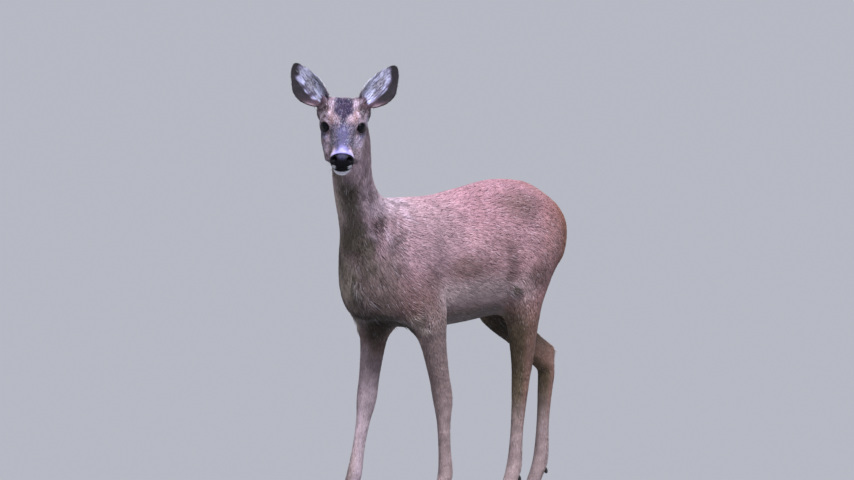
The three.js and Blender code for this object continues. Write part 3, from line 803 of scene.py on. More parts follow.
# %% Colours of the trunk and legs
def body_colours(points, outward):
    """Pale pinkish back, browner flanks, grey belly and rust-brown rump, with painted shade in hollows and
    under the belly.
    """
    places = to_trunk(points)
    mirror = mirror_of(places)
    _, y, z = places.T
    facing = outward[:, 2]
    blotch = waves(points, 46, 1)
    streak = waves(points, 9, 3, (1.6, 0.35, 1.6))
    return lay(
        np.tile(C["flank"], (len(points), 1)),
        ("back", smoothstep(560, 690, z + 18 * blotch) * smoothstep(-0.35, 0.55, facing)),
        ("saddle", smoothstep(40, -170, y + 12 * blotch) * smoothstep(480, 600, z)),
        ("low", smoothstep(590, 470, z + 16 * blotch) * smoothstep(190, 60, y)),
        ("rump", 0.35 * smoothstep(120, 240, y + 16 * blotch)),
        ("rump", smoothstep(215, 300, y + 8 * blotch) * smoothstep(740, 650, z)),
        ("under", 0.9 * capsule(mirror, (90, 50, 490), (86, -116, 492), 36, 0.7)),
        ("under", 0.5 * spot(mirror, (104, 124, 505), (40, 34, 34))),
        # These darker patches behind the shoulder, beside the hip, on the thigh and round the elbow are
        # painted shade.
        ("low", 0.8 * spot(mirror, (105, -70, 552), (60, 50, 26))),
        ("low", 0.75 * spot(mirror, (94, 112, 678), (46, 52, 26), 0.8)),
        ("low", 0.8 * spot(mirror, (114, 162, 530), (60, 40, 28), 0.8)),
        ("low", 0.6 * spot(mirror, (103, -176, 449), (24, 30, 18), 0.8)),
        # Painted shade in the hollow of the flank, beside the hip and low on the thigh.
        ("hollow_shade", 0.6 * capsule(mirror, (104, 74, 590), (101, 82, 540), 18, 0.95)),
        ("hollow_shade", 0.2 * spot(mirror, (94, 104, 674), (34, 40, 20), 0.8)),
        ("hollow_shade", 0.4 * spot(mirror, (114, 160, 527), (40, 30, 22), 0.8)),
        # Painted shade at the top of the foreleg, by the elbow.
        ("low", 0.8 * spot(mirror, (98, -200, 470), (40, 40, 34), 0.8)),
        # The belly is painted darker where it faces down, as painted shade over its grey.
        ("belly", smoothstep(-0.45, -0.8, facing) * smoothstep(520, 470, z)),
        ("neck_dark", 0.25 * smoothstep(0.2, 0.9, streak) * smoothstep(600, 480, z)),
        ("cream", 0.8 * spot(places, (0, 336, 598), (30, 34, 58))),
    )


def leg_colours(points, outward, leg):
    """Greyer downwards, other on the inside, and dark just above the claws, with painted shade high on the
    inner sides and painted light low on the right foreleg.
    """
    x, _, z = to_trunk(points).T
    ragged = z + 14 * waves(points, 46, 1)
    inner = smoothstep(0.25, 0.85, -np.sign(x) * outward[:, 0])
    if leg.startswith("fore"):
        coat = lay(
            np.tile(C["leg"], (len(points), 1)),
            ("leg_low", smoothstep(330, 210, ragged)),
            ("inner", 0.8 * inner * smoothstep(390, 330, z)),
            # Painted shade high on the inside of the foreleg.
            ("hind_front", 0.5 * inner * smoothstep(340, 390, z)),
        )
    else:
        coat = lay(
            np.tile(C["hind"], (len(points), 1)),
            ("hind_front", smoothstep(0, 0.7, -outward[:, 1])),
            ("leg_low", smoothstep(270, 150, ragged)),
            # Painted shade high on the inside of the hind leg.
            ("inner_hind_shade", 0.8 * inner * smoothstep(470, 380, z) * smoothstep(320, 390, z)),
        )
    # The outer side of the right foreleg is painted paler low down, as painted light.
    if leg == "fore_right":
        coat = lay(coat, ("lit_shin", 0.9 * (1 - inner) * smoothstep(404, 360, z) * smoothstep(100, 220, z)))
    return lay(coat, ("dark", 0.35 * smoothstep(40, 24, z)))


# %% Colours of the neck
# Places along a band of painted shade down the throat.
THROAT = [(42, -316, 566), (40, -322, 605), (34, -340, 650), (42, -371, 706), (60, -385, 742)]


def strands(points):
    """Long locks that run down the neck."""
    return waves(points, 6, 8, (1.4, 1.4, 0.25))


def neck_colours(points, outward):
    """Greyish, mottled where she moults, with a dark band of painted shade down the throat and under the
    chin.
    """
    places = to_trunk(points)
    z = places[:, 2]
    strand = strands(points)
    mottle = waves(points, 17, 4, (1.3, 0.8, 0.8)) + 0.6 * strand
    moult = 0.25 + 0.5 * smoothstep(740, 650, z) * smoothstep(560, 610, z)
    fore = smoothstep(0.5, 0.9, np.sum(outward * (-0.4, -0.92, 0), axis=1))
    neck = lay(
        np.tile(C["neck"], (len(points), 1)),
        ("saddle", 0.85 * smoothstep(700, 660, z)),
        ("neck_dark", moult * smoothstep(0.05, 0.8, mottle)),
        ("neck_pale", 0.4 * smoothstep(0.1, 0.8, waves(points, 13, 5) - 0.4 * strand)),
        ("front", 0.8 * fore * (0.8 + 0.2 * mottle)),
        # Painted shade low on the front of the neck.
        ("throat", 0.5 * fore * smoothstep(690, 640, z)),
    )
    # The band down the throat is painted shade.
    for low_end, high_end in zip(THROAT, THROAT[1:]):
        neck = lay(neck, ("throat", 0.8 * capsule(places, low_end, high_end, 18, 0.7)))
    return lay(
        neck,
        # Painted shade down the front of the lower neck.
        ("throat", 0.8 * capsule(places, (14, -334, 640), (10, -332, 592), 17, 0.7)),
        # Painted shadow under the chin.
        ("olive_shade", 0.7 * capsule(places, (46, -388, 736), (58, -400, 774), 20, 0.8)),
    )


# %% All the markings together
def markings(points, outward, about):
    """The coat's colour at surveyed points that face outward."""
    places = to_trunk(points)
    mirror = mirror_of(places)
    _, y, z = places.T
    coat = body_colours(points, outward)
    for leg in LEGS:
        share = part_of(about, leg) * smoothstep(520, 400, z)
        coat = over(coat, share, leg_colours(points, outward, leg))
    coat = over(coat, part_of(about, "neck"), neck_colours(points, outward))
    tress = waves(points, 13, 6, (1.2, 1.2, 0.5)) + 0.4 * strands(points)
    coat = lay(
        coat,
        ("breast", part_of(about, "trunk") * smoothstep(-235, -285, y) * 0.85),
        ("front", 0.9 * spot(places, (-14, -326, 535), (30, 40, 54), 0.5)),
        # Painted shade in the fold in front of the stifle.
        ("olive_shade", 0.9 * capsule(mirror, (98, 94, 505), (96, 83, 486), 6.5)),
        # Painted shade in a dark line low on the breast.
        ("olive_shade", 0.7 * capsule(places, (16, -327, 552), (6, -317, 494), 4.5, 0.7)),
        ("front", 0.5 * capsule(mirror, (84, -226, 452), (91, -188, 424), 9, 0.8)),
        # Painted shade on each side of the base of the neck.
        ("throat", 0.6 * capsule(mirror, (40, -330, 610), (42, -314, 562), 18, 0.8)),
        ("shadow", 0.8 * capsule(mirror, (0, -290, 450), (44, -262, 446), 23, 0.7)),
        ("shadow", 0.85 * capsule(mirror, (16, -204, 450), (40, -194, 420), 32, 0.5)),
        ("shadow", 0.8 * capsule(mirror, (46, 232, 440), (58, 238, 390), 40, 0.5)),
        ("neck_dark", 0.4 * smoothstep(-215, -275, y) * smoothstep(0.1, 0.8, tress)),
    )
    coat = over(coat, part_of(about, "head"), face_colours(about["local"]))
    for side in SIDES:
        coat = over(coat, part_of(about, f"ear_{side}"), ear_colours(about["local"], outward, side))
    coat = lay(coat, ("cream", part_of(about, "tail") * 0.7))
    blotch = waves(points, 46, 1)
    speckle = waves(points, 7, 2)
    streak = waves(points, 9, 3, (1.6, 0.35, 1.6))
    wisp = waves(points, 5, 7, (1.2, 0.3, 1.4))
    tone = 1.04 + 0.10 * blotch + 0.05 * speckle + 0.12 * streak + 0.07 * wisp
    return np.clip(coat * tone[:, None], 0, 1)


def flecks(points, outward, about):
    """Share of the tufts at each place that are dark, and share that are pale."""
    local = about["local"]
    hx, hy, hz = mirror_of(local).T
    head, neck, trunk = (part_of(about, part) for part in ("head", "neck", "trunk"))
    legs = part_of(about, *LEGS)
    loose, _ = loose_locks(points)
    furred = smoothstep(-96, -76, hy) * (1 - 0.6 * smoothstep(12, 6, hx) * smoothstep(-34, -50, hy))
    # Fewer hairs are pale on the forehead, and under the jaw behind it.
    even = spot(np.stack([hx, hy, np.abs(hz)], 1), (0, 14, 32), (18, 34, 12))
    dark = 0.13 * trunk + 0.2 * neck + 0.12 * legs + 0.2 * loose + head * 0.36 * furred
    pale = 0.06 * trunk + 0.08 * neck + 0.05 * legs + 0.3 * loose + head * 0.15 * furred * (1 - 0.7 * even)
    for side in SIDES:
        length, across = on_ear(local, side)
        within = part_of(about, f"ear_{side}") * in_hollow(outward, side)
        lit = smoothstep(0.7, 0.2, across) * smoothstep(0.86, 0.7, length) * smoothstep(0.08, 0.18, length)
        dark += within * (0.10 + 0.22 * lit)
        pale += within * 0.38 * lit
    return dark, pale


# %% Give the skin its colours
# The skin between the tufts is painted darker, as shade deep in the coat.
COAT_DEPTH_SHADE = 0.8  # the skin between the tufts is darker than their tips


def colour_attribute(mesh, colours):
    attribute = mesh.attributes.new("coat_colour", "FLOAT_COLOR", "POINT")
    rgba = np.ones((len(colours), 4), np.float32)
    rgba[:, :3] = colours
    attribute.data.foreach_set("color", rgba.ravel())


skin_colours = markings(points, outward, about)
colour_attribute(mesh, skin_colours * COAT_DEPTH_SHADE)
mesh.shade_smooth()
print("mean colour of the skin:", np.round(skin_colours.mean(0), 3))

# %% [markdown]
# ## Materials
#
# A Blender material is a net of nodes, and maths in it is one small node for every sum. Wired by hand
# in Python that is long to write and hard to read. So a small class wraps a socket and overloads the
# operators: an expression such as 1 - mask adds its Math nodes by itself. Any other node comes from one
# method, which makes the node's settings first, as they can change its sockets, and then gives its
# sockets values or links.


# %% Shader maths
class Wire:
    """A shader socket that can stand in sums; each operator adds a Math node."""

    def __init__(self, paint, socket):
        self.paint, self.socket = paint, socket

    def maths(self, operation, *values):
        return self.paint.node("Math", {"operation": operation}, dict(enumerate(values)))

    def __add__(self, other):
        return self.maths("ADD", self, other)

    def __radd__(self, other):
        return self.maths("ADD", other, self)

    def __sub__(self, other):
        return self.maths("SUBTRACT", self, other)

    def __rsub__(self, other):
        return self.maths("SUBTRACT", other, self)

    def __mul__(self, other):
        return self.maths("MULTIPLY", self, other)

    def __rmul__(self, other):
        return self.maths("MULTIPLY", other, self)

    def __pow__(self, other):
        return self.maths("POWER", self, other)

    def __rpow__(self, other):
        return self.maths("POWER", other, self)

    def ramp(self, low, high):
        """From 0 where the value is low to 1 where it is high, with soft ends."""
        sockets = {"Value": self, "From Min": low, "From Max": high}
        return self.paint.node("MapRange", {"interpolation_type": "SMOOTHSTEP"}, sockets, "Result")


# %% Paints
BUMP_STRENGTH = 0.6


class Paint:
    """A material with its shader, and the means to feed it."""

    def __init__(self, name, **constants):
        self.material = bpy.data.materials.new(name)
        self.material.use_nodes = True
        self.tree = self.material.node_tree
        self.place = self.node("TexCoord", output="Object")
        self.feed(**constants)

    def node(self, kind, settings=None, sockets=None, output=0):
        """Adds a node, makes its settings, and then gives its sockets values or links."""
        node = self.tree.nodes.new(f"ShaderNode{kind}")
        for key, value in (settings or {}).items():
            setattr(node, key, value)
        for key, value in (sockets or {}).items():
            self.give(node.inputs[key], value)
        return Wire(self, node.outputs[output])

    def give(self, socket, value):
        if isinstance(value, Wire):
            self.tree.links.new(value.socket, socket)
        else:
            socket.default_value = value

    def feed(self, **sockets):
        """Gives the shader's own sockets values or links, as in Base_Color."""
        for key, value in sockets.items():
            self.give(self.tree.nodes["Principled BSDF"].inputs[key.replace("_", " ")], value)

    def noise(self, scale, detail, stretch=(1, 1, 1)):
        stretched = self.node("Mapping", None, {"Scale": stretch, "Vector": self.place})
        return self.node("TexNoise", None, {"Scale": scale, "Detail": detail, "Vector": stretched})

    def cells(self, scale):
        return self.node("TexVoronoi", None, {"Scale": scale, "Vector": self.place}, "Distance")

    def vector(self, operation, a, b, output=0):
        return self.node("VectorMath", {"operation": operation}, {0: a, 1: b}, output)

    def mix(self, share, a, b):
        """From colour a to colour b by a share; each colour is a wire or is written as RRGGBB."""
        a, b = (end if isinstance(end, Wire) else (*linear(end), 1) for end in (a, b))
        # A Mix node has its two colours in its seventh and eighth sockets, and gives them in its third.
        return self.node("Mix", {"data_type": "RGBA"}, {0: share, 6: a, 7: b}, 2)

    def bump(self, height, distance):
        """Feeds the shader's normal from a height, where 1 stands for a distance in millimetres."""
        sockets = {"Strength": BUMP_STRENGTH, "Distance": distance * MM, "Height": height}
        self.feed(Normal=self.node("Bump", None, sockets))


# %% [markdown]
# Hair is matt, with a faint sheen where light grazes it, and no two locks are quite as dark. Blender has
# a shader for hair, but it is meant for strands, and the export can't bake it. So the ordinary shader is
# kept rough and is given a little sheen. Its colour is the one that `markings` gives to each point, made
# darker and paler by a fine noise, stretched along the body, and a broad one.


# %% Hair
def hairy(name, bumpy):
    """The coat's colours made uneven by streaks and blotches, with short hair as bumps on the skin."""
    paint = Paint(name, Roughness=0.75, Sheen_Weight=0.08, Sheen_Roughness=0.5, Specular_IOR_Level=0.12)
    fine = paint.noise(900, 3, (1, 0.35, 0.8))
    broad = paint.noise(60, 3)
    tone = fine * 0.5 + broad * 0.35 + 0.58
    colour = paint.node("Attribute", {"attribute_name": "coat_colour"}, output="Color")
    paint.feed(Base_Color=paint.node("VectorMath", {"operation": "SCALE"}, {0: colour, "Scale": tone}))
    if bumpy:
        paint.bump(fine + paint.noise(300, 2, (1, 0.3, 0.7)), 0.6)
    return paint.material


skin.data.materials.append(hairy("short_hair", True))
COAT = hairy("tufts", False)
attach(skin, "root")
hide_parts(*FLESH)
print("short_hair:", len(skin.data.materials[0].node_tree.nodes), "nodes")

# %% [markdown]
# ## Coat
#
# What shows of a deer is the ends of her hairs, which stick together in small pointed tufts. Blender's
# hair curves are drawn but have no surface, and this model has to be solid, so each tuft is a small
# mesh. There are a quarter of a million of them, so each is only a three-sided spindle of six
# triangles: sunk into the skin at its root, widest two fifths of the way along, and drawn to a point at
# the depth of the coat. Each triangle of the skin grows as many as its area asks for.

# %% How large the tufts are
# Length, width and thickness in millimetres, and the square millimetres of skin that each tuft has.
TUFT = {
    "trunk": (23, 2.0, 0.6, 5.0),
    "neck": (22, 2.0, 0.6, 4.4),
    "head": (6.5, 0.9, 0.35, 1.35),
    "tail": (20, 2.2, 0.8, 3.5),
    "ear_left": (8, 0.9, 0.3, 1.5),
    "ear_right": (8, 0.9, 0.3, 1.5),
}
LEG_TUFT = (9, 1.3, 0.45, 3.4)

sizes = np.zeros((len(points), 4))
for k, name in enumerate(PARTS):
    sizes += about["share"][:, [k]] * np.array(TUFT.get(name, LEG_TUFT))
local = about["local"]
muzzle = part_of(about, "head") * smoothstep(-30, -100, local[:, 1])
thighs = part_of(about, *LEGS) * smoothstep(0.34, 0.46, points[:, 2])
feet = smoothstep(0.20, 0.04, points[:, 2])
# How far each place counts, and how much of each size is added there or taken away.
changes = [
    (loose, (0.6, 0.2, 0.3, -0.1)),
    (muzzle, (-0.45, -0.3, -0.3, -0.4)),
    (thighs, (0.6, 0.4, 0.4, 0.6)),
    (feet, (-0.35, -0.25, -0.2, -0.3)),
]
bare = np.zeros(len(points))
for side in SIDES:
    _, reach, off, _, _ = around_eye(local, side)
    bare = np.maximum(bare, (off < 0.09) & (reach < 19))
    lids = (reach < LID_REACH) * (1 - smoothstep(0.1, 0.6, off))
    length, across = on_ear(local, side)
    own = part_of(about, f"ear_{side}")
    hollow = own * (in_hollow(outward, side) * smoothstep(0.8, 0.6, length))
    hollow = hollow * smoothstep(0.6, 0.2, across) * smoothstep(-0.8, -0.5, across)
    changes += [
        (lids, (-0.5, -0.35, -0.2, -0.45)),
        (own * smoothstep(0.8, 1.0, length), (-0.55, -0.2, -0.2, -0.2)),
        (hollow, (1.1, 0.9, 0.5, 0.5)),
        (own * smoothstep(-0.6, -0.8, across), (-0.3, -0.2, -0.2, -0.3)),
    ]
for share, change in changes:
    sizes *= 1 + np.outer(share, change)
print("tufts are", np.round(sizes[:, 0].min(), 1), "to", np.round(sizes[:, 0].max(), 1), "mm long")

# %% Where the tufts grow
CLAW_HEIGHT = 0.018
on_nose = np.linalg.norm((local - (0, -121, 3)) / (22, 10, 15), axis=1) < 1
bare = np.maximum(bare, on_nose)
bare = np.maximum(bare, points[:, 2] < CLAW_HEIGHT)

triangles = np.empty(len(mesh.polygons) * 3, np.int32)
mesh.polygons.foreach_get("vertices", triangles)
triangles = triangles.reshape(-1, 3)
corner = points[triangles]
crossed = np.cross(corner[:, 1] - corner[:, 0], corner[:, 2] - corner[:, 0])
area = np.linalg.norm(crossed, axis=1) / 2 / MM**2
grown = area / sizes[triangles, 3].mean(1) * (1 - bare[triangles].max(1))
count = np.floor(grown + RANDOM.random(len(grown))).astype(int)
home = np.repeat(np.arange(len(triangles)), count)
at = RANDOM.random((len(home), 2))
at = np.where(at.sum(1, keepdims=True) > 1, 1 - at, at)
mixing = np.stack([1 - at.sum(1), at[:, 0], at[:, 1]], 1)


def on_skin(values):
    """Values of the skin's points, as they are at the root of each tuft."""
    return np.einsum("nk,nkc->nc", mixing, values[triangles[home]])


root = on_skin(points)
out = unit(on_skin(outward))
ahead = on_skin(lie)
size = on_skin(sizes)
tall = on_skin(depth[:, None])[:, 0]
rooted = survey(root)
part = rooted["near"].argmin(1)
n = len(root)
print(n, "tufts")


# %% Size and way of each tuft
def wander(count, spread):
    """Random factors about 1."""
    return 1 + spread * (2 * RANDOM.random(count) - 1)


ahead = unit(ahead - out * np.sum(ahead * out, axis=1, keepdims=True))
across = np.cross(out, ahead)
sway = (0.10 + 0.08 * part_of(rooted, "neck")) * RANDOM.normal(size=n)
ahead = unit(ahead + across * sway[:, None])
across = np.cross(out, ahead)
length = size[:, 0] * wander(n, 0.3) * MM
width = size[:, 1] * wander(n, 0.25) * MM
thickness = size[:, 2] * wander(n, 0.3) * MM
rise = np.minimum(tall * wander(n, 0.25), 0.42 * size[:, 0]) * MM
rise = rise * (1 + 1.3 * loose_locks(root)[0])
print("a mean tuft is", np.round(length.mean() / MM, 1), "mm by", np.round(width.mean() / MM, 2), "mm")

# %% Colour of each tuft
tone = markings(root, out, rooted)
dark, pale = flecks(root, out, rooted)
drawn = RANDOM.random(n)
bodily = 1 - part_of(rooted, "head", "ear_left", "ear_right")[:, None]
tone = np.where((drawn < dark)[:, None], (0.35 + 0.27 * bodily) * tone, tone)
lighter = (0.6 + 0.4 * bodily) * tone + (0.3 - 0.18 * bodily) * C["white"]
tone = np.where((drawn > 1 - pale)[:, None], lighter, tone)
print(int((drawn < dark).sum()), "dark tufts and", int((drawn > 1 - pale).sum()), "pale ones")

# %% [markdown]
# A hair that ran straight from its root would leave the skin where the body curves away, and would sink
# into it where the body curves up. Shrinkwrap could pull it down, but would also flatten it. So a ray
# is cast onto the skin under the widest place of each tuft and under its tip, and the tuft rises or
# falls by what they hit.

# %% Drape the tufts over the form
RIDGE, WIDEST, TIP = 0.36, 0.40, 0.97  # shares of a tuft's length
FALL_FROM = 8 * MM
SURFACE = BVHTree.FromPolygons(points.tolist(), triangles.tolist())


def moved(run, lift, side):
    """Each tuft's root, moved along the tuft, out of the skin and across."""
    return root + ahead * run[:, None] + out * lift[:, None] + across * side[:, None]


def draped(run):
    """How far the skin rises or falls under each tuft, at a distance from its root."""
    starts = moved(run, FALL_FROM + 0 * run, 0 * run)
    falls = np.full(n, FALL_FROM)
    for i, (start, down) in enumerate(zip(starts.tolist(), (-out).tolist())):
        hit = SURFACE.ray_cast(start, down, 2 * FALL_FROM)
        if hit[3] is not None:
            falls[i] = hit[3]
    limit = 0.4 * run + 0.3 * MM
    return np.clip(FALL_FROM - falls, -limit, limit)


halfway, full = draped(WIDEST * length), draped(TIP * length)
print("the skin falls away under a tuft by up to", np.round(-full.min() / MM, 1), "mm")

# %% Shape of each tuft
TUFT_FACES = np.array(((0, 2, 1), (0, 3, 2), (0, 1, 3), (4, 1, 2), (4, 2, 3), (4, 3, 1)), np.int32)
TUFT_SHADES = np.array((0.84, 0.96, 0.96, 1.0, 1.07))  # darker at the root, paler at the tip
TUFT_POINTS = len(TUFT_SHADES)
SUNK_ROOT = 0.4 * MM

nowhere = 0 * length
ring = halfway + 0.86 * rise - 0.3 * thickness
knots = np.stack(
    [
        moved(nowhere, nowhere - SUNK_ROOT, nowhere),
        moved(WIDEST * length, ring, -0.5 * width),
        moved(WIDEST * length, ring, 0.5 * width),
        moved(RIDGE * length, ring + thickness, nowhere),
        moved(length, full + rise, 0.15 * sway * length),
    ],
    axis=1,
)
hues = np.clip(tone[:, None, :] * (TUFT_SHADES * wander(n, 0.12)[:, None])[:, :, None], 0, 1)
# Each tuft takes light as the skin under it does, leaning a little, so that the coat looks soft, not spiky.
sides = 0.8 * across
seeming = unit(np.stack([out, out - sides, out + sides, out, out + 0.25 * ahead], axis=1))
print("all the tufts have", n * len(TUFT_FACES), "triangles")

# %% [markdown]
# Each piece is unwrapped, so that its colours can be baked into a flat texture.
# Blender's unwrap would need minutes for so many islands. Here each tuft gets a tiny patch of its own
# instead, where its root lies when its part of the skin is unrolled like a label. Long rows of tufts
# are cut into several pieces, so that none has too many triangles.

# %% Make the pieces of the coat
MOST_TUFTS = 32_500
PATCH = np.array(((0, -1), (-1, 0), (1, 0), (0, 0), (0, 1))) * 0.0015
AWRY = (0.13, 0.21, 0.97)  # a direction that no line takes


def unwrapped(chosen, k):
    """Where each tuft's root lies on its part of the skin, unrolled round the part's line."""
    way = rooted["way"][chosen, k]
    sideways = unit(np.cross(way, AWRY) + 1e-9)
    radial = out[chosen]
    around = np.arctan2(np.sum(radial * np.cross(way, sideways), axis=1), np.sum(radial * sideways, axis=1))
    uv = np.stack([around, rooted["run"][chosen, k]], 1)
    low, high = uv.min(0), uv.max(0)
    return 0.01 + 0.98 * (uv - low) / np.maximum(high - low, 1e-9)


def coat_piece(name, chosen, k):
    """Makes one mesh of the chosen tufts of part k."""
    m = len(chosen)
    faces = len(TUFT_FACES) * m
    mesh = bpy.data.meshes.new(name)
    mesh.vertices.add(TUFT_POINTS * m)
    mesh.loops.add(3 * faces)
    mesh.polygons.add(faces)
    mesh.vertices.foreach_set("co", knots[chosen].astype(np.float32).ravel())
    loops = (TUFT_POINTS * np.arange(m)[:, None] + TUFT_FACES.ravel()).ravel().astype(np.int32)
    mesh.loops.foreach_set("vertex_index", loops)
    mesh.polygons.foreach_set("loop_start", np.arange(0, 3 * faces, 3, dtype=np.int32))
    mesh.polygons.foreach_set("loop_total", np.full(faces, 3, np.int32))
    mesh.polygons.foreach_set("use_smooth", np.ones(faces, bool))
    mesh.update(calc_edges=True)
    mesh.normals_split_custom_set_from_vertices(seeming[chosen].reshape(-1, 3).tolist())
    colour_attribute(mesh, hues[chosen].reshape(-1, 3))
    layer = mesh.uv_layers.new(name="OFBake")
    uv = (unwrapped(chosen, k)[:, None, :] + PATCH).reshape(-1, 2)
    layer.data.foreach_set("uv", np.clip(uv[loops], 0, 1).astype(np.float32).ravel())
    piece = new_object(name, mesh, COAT)
    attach(piece, "root")
    print(f"{name}: {faces} triangles")


to_left = root[:, 0] - TRUNK_AT[0] > 0
to_left = np.where(part == IS["head"], rooted["local"][:, 0] > 0, to_left)
for k, name in enumerate(PARTS):
    own = part == k
    if name in ("trunk", "neck", "head"):
        groups = {f"coat_{name}_left": own & to_left, f"coat_{name}_right": own & ~to_left}
    else:
        groups = {f"coat_{name}": own}
    for label, members in groups.items():
        members = np.flatnonzero(members)
        cuts = 1 + len(members) // MOST_TUFTS
        order = members[np.argsort(rooted["run"][members, k])]
        for i, chosen in enumerate(np.array_split(order, cuts)):
            coat_piece(label if cuts == 1 else f"{label}_{i + 1}", chosen, k)

# %% [markdown]
# ## Eyes
#
# A roe deer's eye is large, nearly black and very wet, with a cornea that bulges a little and a wide
# pupil that lies level. The iris, the pupil and the dark ring round them could be separate discs, but
# the edges between them are soft. So the eyeball is one sphere, drawn out in front, and its shader
# measures how far each place is from the line of gaze, across and up.

# %% Eyeballs
CORNEA, CORNEA_REACH = 0.05, 0.75  # how far the cornea bulges, of the radius, and how wide it is in radians
PUPIL_WIDE, PUPIL_HIGH = 0.62, 1.5  # the smaller, the wider the pupil is that way

for side, at in EYES.items():
    gaze, inward, above = (HEAD_AXES @ axis for axis in eye_axes(side))
    centre = from_head(at)
    bm = bmesh.new()
    bmesh.ops.create_uvsphere(bm, u_segments=56, v_segments=40, radius=EYE_RADIUS * MM)
    for v in bm.verts:
        off = v.co.angle(Vector(gaze))
        v.co *= 1 + CORNEA * max(0, 1 - (off / CORNEA_REACH) ** 2)
    bmesh.ops.translate(bm, verts=bm.verts, vec=Vector(centre))
    paint = Paint(f"eye_{side}", Roughness=0.05, Specular_IOR_Level=0.18)
    arm = paint.vector("SUBTRACT", paint.place, centre)
    wide, high = (paint.vector("DOT_PRODUCT", arm, axis, "Value") for axis in (inward, above))
    wide, high = wide * (1 / (EYE_RADIUS * MM)), high * (1 / (EYE_RADIUS * MM))
    ring = (wide**2 + high**2) ** 0.5
    pupil = ((wide * PUPIL_WIDE) ** 2 + (high * PUPIL_HIGH) ** 2) ** 0.5
    iris = paint.mix(paint.noise(420, 3), "08080D", "0E0D15")
    iris = paint.mix(ring.ramp(0.50, 0.66), iris, "050508")
    paint.feed(Base_Color=paint.mix(pupil.ramp(0.30, 0.22), iris, "020203"))
    ball = new_object(f"eyeball_{side}", mesh_from(bm, f"eyeball_{side}", smooth=True), paint.material)
    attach(ball, "root")
    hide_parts(f"eye_{side}")
    print(ball.name, len(ball.data.polygons), "faces")

# %% [markdown]
# ## Lids, lashes and whiskers
#
# The edge of a deer's lid is a dark, bare, moist cord. A bevelled curve could draw it, but its
# thickness would be awkward to vary. So a circle is spun into a hoop, as with Blender's Spin tool, and
# the hoop is bent onto the lids' edge, thicker above than below. A lash is a cone with three sides, cut
# across so that it can bend. It is modelled once, and every lash and whisker is a bent copy of it.


# %% Edges of the lids
def round_eye(side, turns, beyond):
    """Ways from the eyeball's middle to its lids' edge, or an angle beyond it, at turns round the eye."""
    gaze, inward, above = eye_axes(side)
    off = opening(turns) + beyond
    ways = np.outer(np.cos(off), gaze) + np.outer(np.sin(off) * np.cos(turns), inward)
    return ways + np.outer(np.sin(off) * np.sin(turns), above)


def hoop(path, radii):
    """A hoop bent onto a closed path, with its own thickness at each place of the path."""
    sides, thin = 8, 0.1
    count = len(path)
    along = unit(np.roll(path, -1, axis=0) - np.roll(path, 1, axis=0))
    aside = unit(np.cross(along, (0.2, 0.3, 0.9)))
    upright = np.cross(along, aside)
    bm = bmesh.new()
    stand = Matrix.Translation((1, 0, 0)) @ Matrix.Rotation(math.pi / 2, 4, "X")
    bmesh.ops.create_circle(bm, segments=sides, radius=thin, matrix=stand)
    bmesh.ops.spin(
        bm,
        geom=bm.verts[:] + bm.edges[:],
        cent=(0, 0, 0),
        axis=(0, 0, 1),
        angle=2 * math.pi,
        steps=count,
        use_merge=True,
    )
    for v in bm.verts:
        i = round(math.atan2(v.co.y, v.co.x) / (2 * math.pi) * count) % count
        wide, high = (math.hypot(v.co.x, v.co.y) - 1) / thin, v.co.z / thin
        v.co = Vector(path[i] + radii[i] * (wide * aside[i] + high * upright[i]))
    bmesh.ops.recalc_face_normals(bm, faces=bm.faces)
    return bm


LID_THICKNESS = 0.7
LID_SKIN = Paint("lid", Roughness=0.45, Specular_IOR_Level=0.35)
LID_SKIN.feed(Base_Color=LID_SKIN.mix(LID_SKIN.noise(700, 3), "0C0909", "1D1615"))
LID_SKIN.bump(LID_SKIN.noise(1400, 2), 0.1)
for side, at in EYES.items():
    turns = np.linspace(-np.pi, np.pi, 73)[:-1]
    path = from_head(at + round_eye(side, turns, 0.035) * (EYE_RADIUS + 0.25))
    bm = hoop(path, LID_THICKNESS * MM * (1 + 0.3 * np.sin(turns)))
    lid = new_object(f"lid_{side}", mesh_from(bm, f"lid_{side}", smooth=True), LID_SKIN.material)
    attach(lid, "root")
    print(lid.name, len(lid.data.polygons), "faces")


# %% One straight hair
HAIR_TIP, HAIR_CUTS = 0.15, 4


def straight_hair():
    """A thin cone from 0 to 1 along Z, three-sided and cut across."""
    bm = bmesh.new()
    bmesh.ops.create_cone(bm, cap_ends=True, segments=3, radius1=1, radius2=HAIR_TIP, depth=1)
    bmesh.ops.translate(bm, verts=bm.verts, vec=(0, 0, 0.5))
    upright = [e for e in bm.edges if abs(e.verts[0].co.z - e.verts[1].co.z) > 0.5]
    bmesh.ops.subdivide_edges(bm, edges=upright, cuts=HAIR_CUTS)
    return mesh_from(bm, "straight_hair")


HAIR = straight_hair()
print("a hair has", len(HAIR.vertices), "points")


# %% Lashes and whiskers
def bristles(name, roots, ways, bend, lengths, radius):
    """Thin tapering hairs that curve from their roots, joined as one mesh."""
    bm = bmesh.new()
    for root_at, way, long in zip(roots, unit(ways), lengths):
        aside = unit(np.cross(way, unit(bend)))
        third = np.cross(way, aside)
        bm.from_mesh(HAIR)
        bm.verts.ensure_lookup_table()
        for v in bm.verts[-len(HAIR.vertices) :]:
            high, wide, step = v.co
            middle = root_at + (way * step + np.asarray(bend) * step**2) * long
            v.co = Vector(middle + radius * MM * (wide * aside + high * third))
    bmesh.ops.recalc_face_normals(bm, faces=bm.faces)
    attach(new_object(name, mesh_from(bm, name), LID_SKIN.material), "root")
    print(name, len(roots), "hairs")


